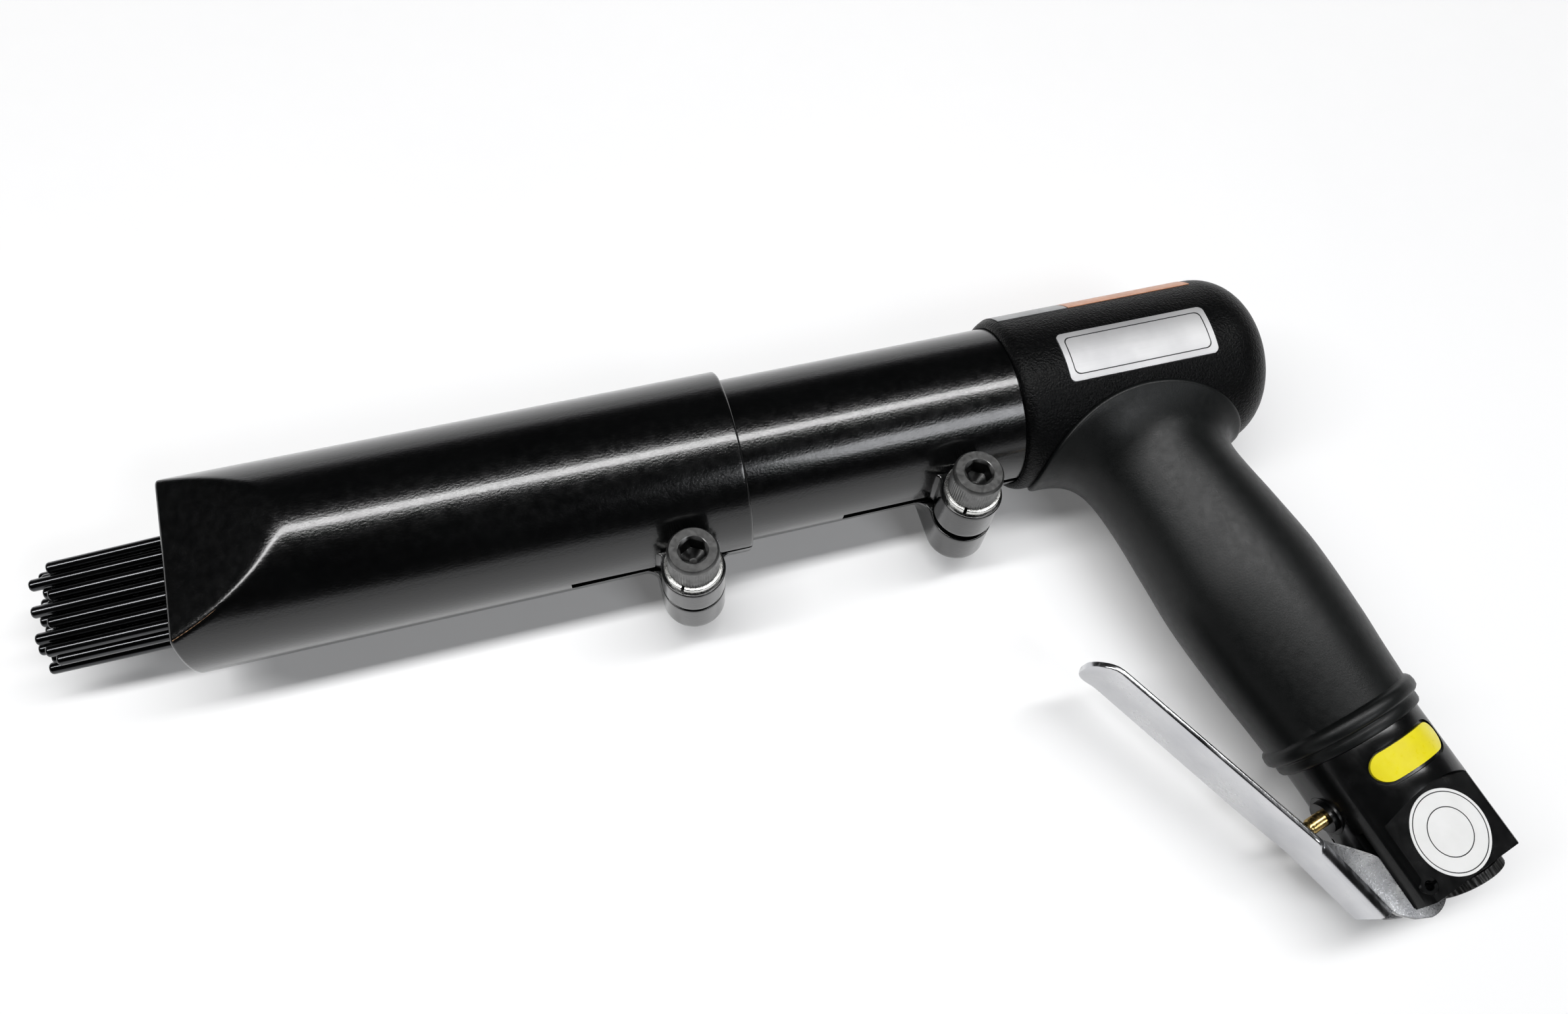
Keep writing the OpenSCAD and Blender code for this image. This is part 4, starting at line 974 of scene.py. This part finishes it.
for clamp in CLAMPS:
    node, base = clamp.end + "_clamp_screw", clamp.up + WASHER_T
    # each screw's socket also gets a dark lining, painted shade
    for name, shape, look in (("_cap_screw", screw(base), oxide), ("_painted_socket_shade", socket_shade_lining(base), dark_oxide_and_socket_shade)):
        piece(clamp.end + name, shape, clamp.frame, look, clamp.body, "black_oxide", node, sharp=SCREW_SHARP)
for clamp in CLAMPS:
    node = clamp.end + "_lock_washer"
    piece(clamp.end + "_split_washer", washer(clamp.up), clamp.frame, zinc, clamp.body, "zinc", node)

# Needles: separate rods with softened tips, closer together at the nose than in their holder
NEEDLE_R, NEEDLE_LEN, NEEDLE_COUNT, ROWS, COLS, STAGGER = 1.5, 180.0, 24, 4, 7, 0.25
HOLDER_END, HOLDER_T, HOLDER_MARGIN, HOLDER_PITCHES, HEAD_H = 5.3, 8.0, 6.1, 3.25, 2.4
HOLDER_PITCH = (REAR_BORE - HOLDER_MARGIN) / HOLDER_PITCHES
HOLDER_ROW = 0.9 * HOLDER_PITCH
TIP_PITCH, TIP_ROW, TIP_Y, TIP_Z, TIP_WEAR, WEAR_TURN = 3.45, 2.6, -1.8, -5.0, 4.2, 97
TIP_X = HOLDER_END + HEAD_H - NEEDLE_LEN
HEAD_OUTLINE = [(NEEDLE_R, 0), (1.9, 0.3), (1.9, 2.0), (1.85, 2.3), (NEEDLE_R, 2.3)]
TIP_OUTLINE = [(0, 0.75), (0.08, 0.42), (0.3, 0.14), (0.6, 0.02), (1.0, 0)]  # inwards, and back from the end


def needle_ends(row, col):
    """The head's end and the tip of a needle; each tip is worn by a different length."""
    across = col - (COLS - 1) / 2 + (STAGGER if row % 2 else -STAGGER)
    up = row - (ROWS - 1) / 2
    held = Vector((HOLDER_END - HOLDER_T / 2, across * HOLDER_PITCH, up * HOLDER_ROW))
    tip = Vector((TIP_X, across * TIP_PITCH + TIP_Y, up * TIP_ROW + TIP_Z))
    worn = TIP_WEAR * sin(radians(WEAR_TURN * (row * COLS + col))) ** 2
    ends = (HOLDER_END + HEAD_H, TIP_X + worn)
    return [held + (tip - held) * (x - held.x) / (tip.x - held.x) for x in ends]


def needle(row, col):
    head, tip = needle_ends(row, col)
    length = (tip - head).length
    outline = HEAD_OUTLINE + [(NEEDLE_R, length / 2)]
    outline += [(NEEDLE_R - inwards, length - back) for inwards, back in TIP_OUTLINE]
    turn = (tip - head).to_track_quat("Z", "Y").to_matrix().to_4x4()
    return moved(lathe(outline, NEEDLE_COUNT), Matrix.Translation(head) @ turn)


needles = join(*[needle(row, col) for row in range(ROWS) for col in range(COLS)])
piece("needle_rods", needles, TOOL, black_needle, "needle_set", "needle_steel", "needles")

# Springs: round wire with closed end coils, pressed together by the pieces they push
SPRING_SIDES, SPRING_STEPS, CLOSED_TURNS = 12, 28, 0.8
NEEDLE_SPRING_X, NEEDLE_SPRING_ROOM, NEEDLE_TRAVEL = -56.3, 53.5, 8.0
STEM_SPRING_X, STEM_SPRING_ROOM, STEM_TRAVEL = -4.1, 16.0, 4.1


def spring(coils, mean_r, wire_d, room):
    """A coil along x that fills a room of a given length."""
    total = coils + 2 * CLOSED_TURNS
    steps = int(total * SPRING_STEPS)
    loops = []
    for i in range(steps + 1):
        turn = total * i / steps
        x = wire_d / 2 + (room - wire_d) * min(1, max(0, (turn - CLOSED_TURNS) / coils))
        a = 2 * pi * turn
        loop = []
        for b in around(SPRING_SIDES):
            r = mean_r + wire_d / 2 * cos(b)
            loop.append((x + wire_d / 2 * sin(b), r * cos(a), r * sin(a)))
        loops.append(loop)
    return rings(loops)


needle_seat = Vector((NEEDLE_SPRING_X, 0, 0))
coil = spring(coils=6.4, mean_r=17.72, wire_d=1.8, room=NEEDLE_SPRING_ROOM)
needle_spring = piece("needle_return_spring", coil, TOOL @ Matrix.Translation(needle_seat), wire, "body",
                      "spring_steel", "return_spring")
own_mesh(needle_spring)
stem_seat = Vector((STEM_SPRING_X, 0, STEM_H))
coil = spring(coils=5.4, mean_r=3.8, wire_d=1.0, room=STEM_SPRING_ROOM)
stem_spring = piece("throttle_return_spring", coil, HANDLE @ Matrix.Translation(stem_seat), wire, "body",
                    "spring_steel", "throttle_spring")
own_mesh(stem_spring)

# Throttle stem: turned brass with a round nose and a groove
STEM_R, STEM_FRONT, STEM_END, STEM_COUNT = 2.0, -26.9066, -5.3, 40
STEM_NOSE = [(1.2, 0), (1.6, 0.08), (1.88, 0.3), (STEM_R, 0.7)]
STEM_GROOVE = [(STEM_R, 2.2), (1.85, 2.45), (1.72, 2.9), (1.85, 3.35), (STEM_R, 3.6)]
stem = lathe(STEM_NOSE + STEM_GROOVE + [(STEM_R, STEM_END - STEM_FRONT)], STEM_COUNT)
across_handle = HANDLE @ Matrix.Translation((STEM_FRONT, 0, STEM_H)) @ Matrix.Rotation(pi / 2, 4, "Y")
piece("throttle_push_rod", stem, across_handle, brass, "throttle", "brass", "throttle_stem")

# Air inlet: knurled ring and a threaded bore
INLET_X, INLET_COUNT, INLET_TOP, INLET_END = 4, 160, BODY_END - 12.6, BODY_END + 3.6
INLET_BORE, INLET_R, INLET_KNURL, KNURL_POINTS = 5.9, 9.6, 0.35, 4
THREAD_PITCH, THREAD_R = 1.337, (5.85, 6.15, 6.45, 6.15)


def knurled_ring(z):
    """A circle with a rounded knurl."""
    def radius(k, a):
        return INLET_R - INLET_KNURL * (0.5 - 0.5 * cos(2 * pi * k / KNURL_POINTS))
    return polar(INLET_COUNT, z, radius)


def inlet():
    """From the top of the bore down the outside, over the ring and back up the thread."""
    def plain(*profile):
        return [circle(r, z, INLET_COUNT) for r, z in profile]

    steps = len(THREAD_R)
    loops = plain((INLET_BORE, INLET_TOP), (7.6, INLET_TOP), (7.6, BODY_END + 0.95), (9.0, BODY_END + 1.0),
                  (9.45, BODY_END + 1.25))
    loops += [knurled_ring(BODY_END + 1.5), knurled_ring(INLET_END - 0.5)]
    loops += plain((9.4, INLET_END - 0.2), (9.0, INLET_END), (6.7, INLET_END), (6.2, INLET_END - 0.6))
    for i in range(int((INLET_END - INLET_TOP - 1.2) / THREAD_PITCH * steps)):
        loops += plain((THREAD_R[i % steps], INLET_END - 0.8 - i * THREAD_PITCH / steps))
    return rings(loops + plain((INLET_BORE, INLET_TOP)), False, False)


inlet_place = HANDLE @ Matrix.Translation((INLET_X, 0, 0))
piece("inlet_ring", inlet(), inlet_place, dark_oxide_and_socket_shade, "body", "black_oxide", "inlet_bush")

# Plain borders: a thin line round the nameplate and two rings on the round label
PLATE_L, PLATE_W, PLATE_T, PLATE_X = 42, 13.8, 0.45, HANDLE_X + 2.5
BORDER_INSET, BORDER_W, BORDER_CORNER, BORDER_RISE, BORDER_SUNK = 1.5, 0.28, 1.6, 0.03, -0.02
LABEL_X, LABEL_H, LABEL_FACE, LABEL_RISE, LABEL_COUNT = 0.2, BODY_END - 10.6, 12.15, 0.02, 96
LABEL_RINGS = ((9.3, 9.55), (5.7, 5.95))


def dense(points):
    """A closed outline with points at most about a millimetre apart."""
    out = []
    for i, p in enumerate(points):
        q = points[(i + 1) % len(points)]
        n = max(1, int(math.dist(p, q)))
        out += [(p[0] + (q[0] - p[0]) * k / n, p[1] + (q[1] - p[1]) * k / n) for k in range(n)]
    return out


def border():
    """A line on the nameplate, bent round the head with it."""
    length, width = PLATE_L - 2 * BORDER_INSET, PLATE_W - 2 * BORDER_INSET
    outline = dense(rounded(-length / 2, length / 2, -width / 2, width / 2, BORDER_CORNER, steps=8))
    loops = []
    for inset, lift in ((0, BORDER_SUNK), (0, BORDER_RISE),
                        (BORDER_W, BORDER_RISE), (BORDER_W, BORDER_SUNK)):
        r = COVER_R + PLATE_T + lift
        loop = []
        for x, y in outline:
            x, y = x * (1 - 2 * inset / length), y * (1 - 2 * inset / width)
            loop.append((PLATE_X + x, y, sqrt(r * r - y * y)))
        loops.append(loop)
    return hollow(loops)


def label_ring(r0, r1):
    low, high = LABEL_FACE - LABEL_RISE, LABEL_FACE + LABEL_RISE
    ring = hollow([circle(r, z, LABEL_COUNT) for r, z in ((r0, low), (r1, low), (r1, high), (r0, high))])
    return moved(ring, Matrix.Translation((LABEL_X, 0, LABEL_H)) @ Matrix.Rotation(-pi / 2, 4, "X"))


piece("nameplate_border", border(), TOOL, ink, "body", "black_oxide")
label_rings = join(*[label_ring(r0, r1) for r0, r1 in LABEL_RINGS])
piece("label_rings", label_rings, HANDLE, ink, "body", "black_oxide")

# Table: pale, with a glow for the camera and for reflections that grows with the distance from the tool
TABLE_HALF = 6
GLOW_NEAR, GLOW_FAR, GLOW_START, GLOW_STOP = 0.12, 0.85, 0.3, 2.8
scene = bpy.context.scene
table_mesh = bpy.data.meshes.new("table")
corners = ((-1, -1), (1, -1), (1, 1), (-1, 1))
table_mesh.from_pydata([(x * TABLE_HALF, y * TABLE_HALF, 0) for x, y in corners], [], [(0, 1, 2, 3)])
table = added("table", table_mesh)


def make_table():
    k = Look("white_table", specular=0.3)
    k.colour(k.ramp(k.noise(3, 4), (0.87, 0.87, 0.875), (0.9, 0.9, 0.9)))
    k.rough(k.span(k.noise(120, 3), 0.5, 0.62))
    seen = k.node("ShaderNodeLightPath", {}).outputs
    shown = k.math("MAXIMUM", seen["Is Camera Ray"], seen["Is Glossy Ray"])
    shown = k.math("MAXIMUM", shown, seen["Is Transmission Ray"])
    away = k.node("ShaderNodeVectorMath", {0: k.place}, operation="LENGTH").outputs["Value"]
    level = k.span(away, GLOW_NEAR, GLOW_FAR, GLOW_START, GLOW_STOP, "SMOOTHSTEP")
    glow = k.node("ShaderNodeEmission", {"Strength": k.math("MULTIPLY", shown, level)})
    both = k.node("ShaderNodeAddShader", {0: k.shader.outputs["BSDF"], 1: glow.outputs["Emission"]})
    k.fill(k.tree.nodes["Material Output"], {"Surface": both.outputs["Shader"]})
    return k.material


table_mesh.materials.append(make_table())

# Room: pale at the horizon and dark overhead, by the height of the direction
ROOM = [(0.0, 0.9), (0.08, 0.55), (0.15, 0.17), (0.22, 0.035), (0.4, 0.012), (1.0, 0.01)]
BLUE = 1.02


def make_room():
    world = bpy.data.worlds.new("room")
    world.use_nodes = True
    tree = world.node_tree
    direction = tree.nodes.new("ShaderNodeTexCoord")
    split = tree.nodes.new("ShaderNodeSeparateXYZ")
    shade = tree.nodes.new("ShaderNodeValToRGB")
    stops = shade.color_ramp.elements
    for height, level in ROOM[1:-1]:
        stops.new(height)
    for stop, (height, level) in zip(stops, ROOM):
        stop.position = height
        stop.color = (level, level, level * BLUE, 1)
    tree.links.new(direction.outputs["Generated"], split.inputs["Vector"])
    tree.links.new(split.outputs["Z"], shade.inputs["Fac"])
    tree.links.new(shade.outputs["Color"], tree.nodes["Background"].inputs["Color"])
    return world


scene.world = make_room()


# Lamps: a long strip overhead that draws the barrel's highlights, and a fill from the front
def lamp(name, power, place, target, size, colour=(1, 1, 1)):
    data = bpy.data.lights.new(name, "AREA")
    data.energy = power
    data.color = colour
    data.shape = "RECTANGLE"
    data.size, data.size_y = size
    obj = added(name, data)
    obj.location = place
    obj.rotation_mode = "QUATERNION"
    obj.rotation_quaternion = (Vector(target) - Vector(place)).to_track_quat("-Z", "Y")


lamp("long_strip", power=19.0, place=(-0.25, 0.17, 1.15), target=(-0.25, 0.06, 0.02), size=(2.4, 0.16))
lamp("front_fill", power=3.2, place=(0.5, -0.72, 1.05), target=(0.1, 0, 0.02), size=(0.5, 0.3),
     colour=(0.95, 0.97, 1))

# Camera: fitted to the photo, with its place in metres and its turns in degrees
CAMERA_AT, CAMERA_TURN = (-0.036773, -0.055686, 0.303544), (22.1453, -4.7203, -15.0078)
CAMERA_SENSOR, CAMERA_LENS = 36, 26.6835
camera_data = bpy.data.cameras.new("photo_camera")
camera_data.sensor_width = CAMERA_SENSOR
camera_data.lens = CAMERA_LENS
camera_data.dof.use_dof = False
camera_data.clip_start = 0.01
camera = added("photo_camera", camera_data)
turns = Euler([radians(a) for a in CAMERA_TURN], "XYZ")
camera.matrix_world = Matrix.LocRotScale(Vector(CAMERA_AT), turns, None)
scene.camera = camera
scene.view_settings.view_transform = "Standard"
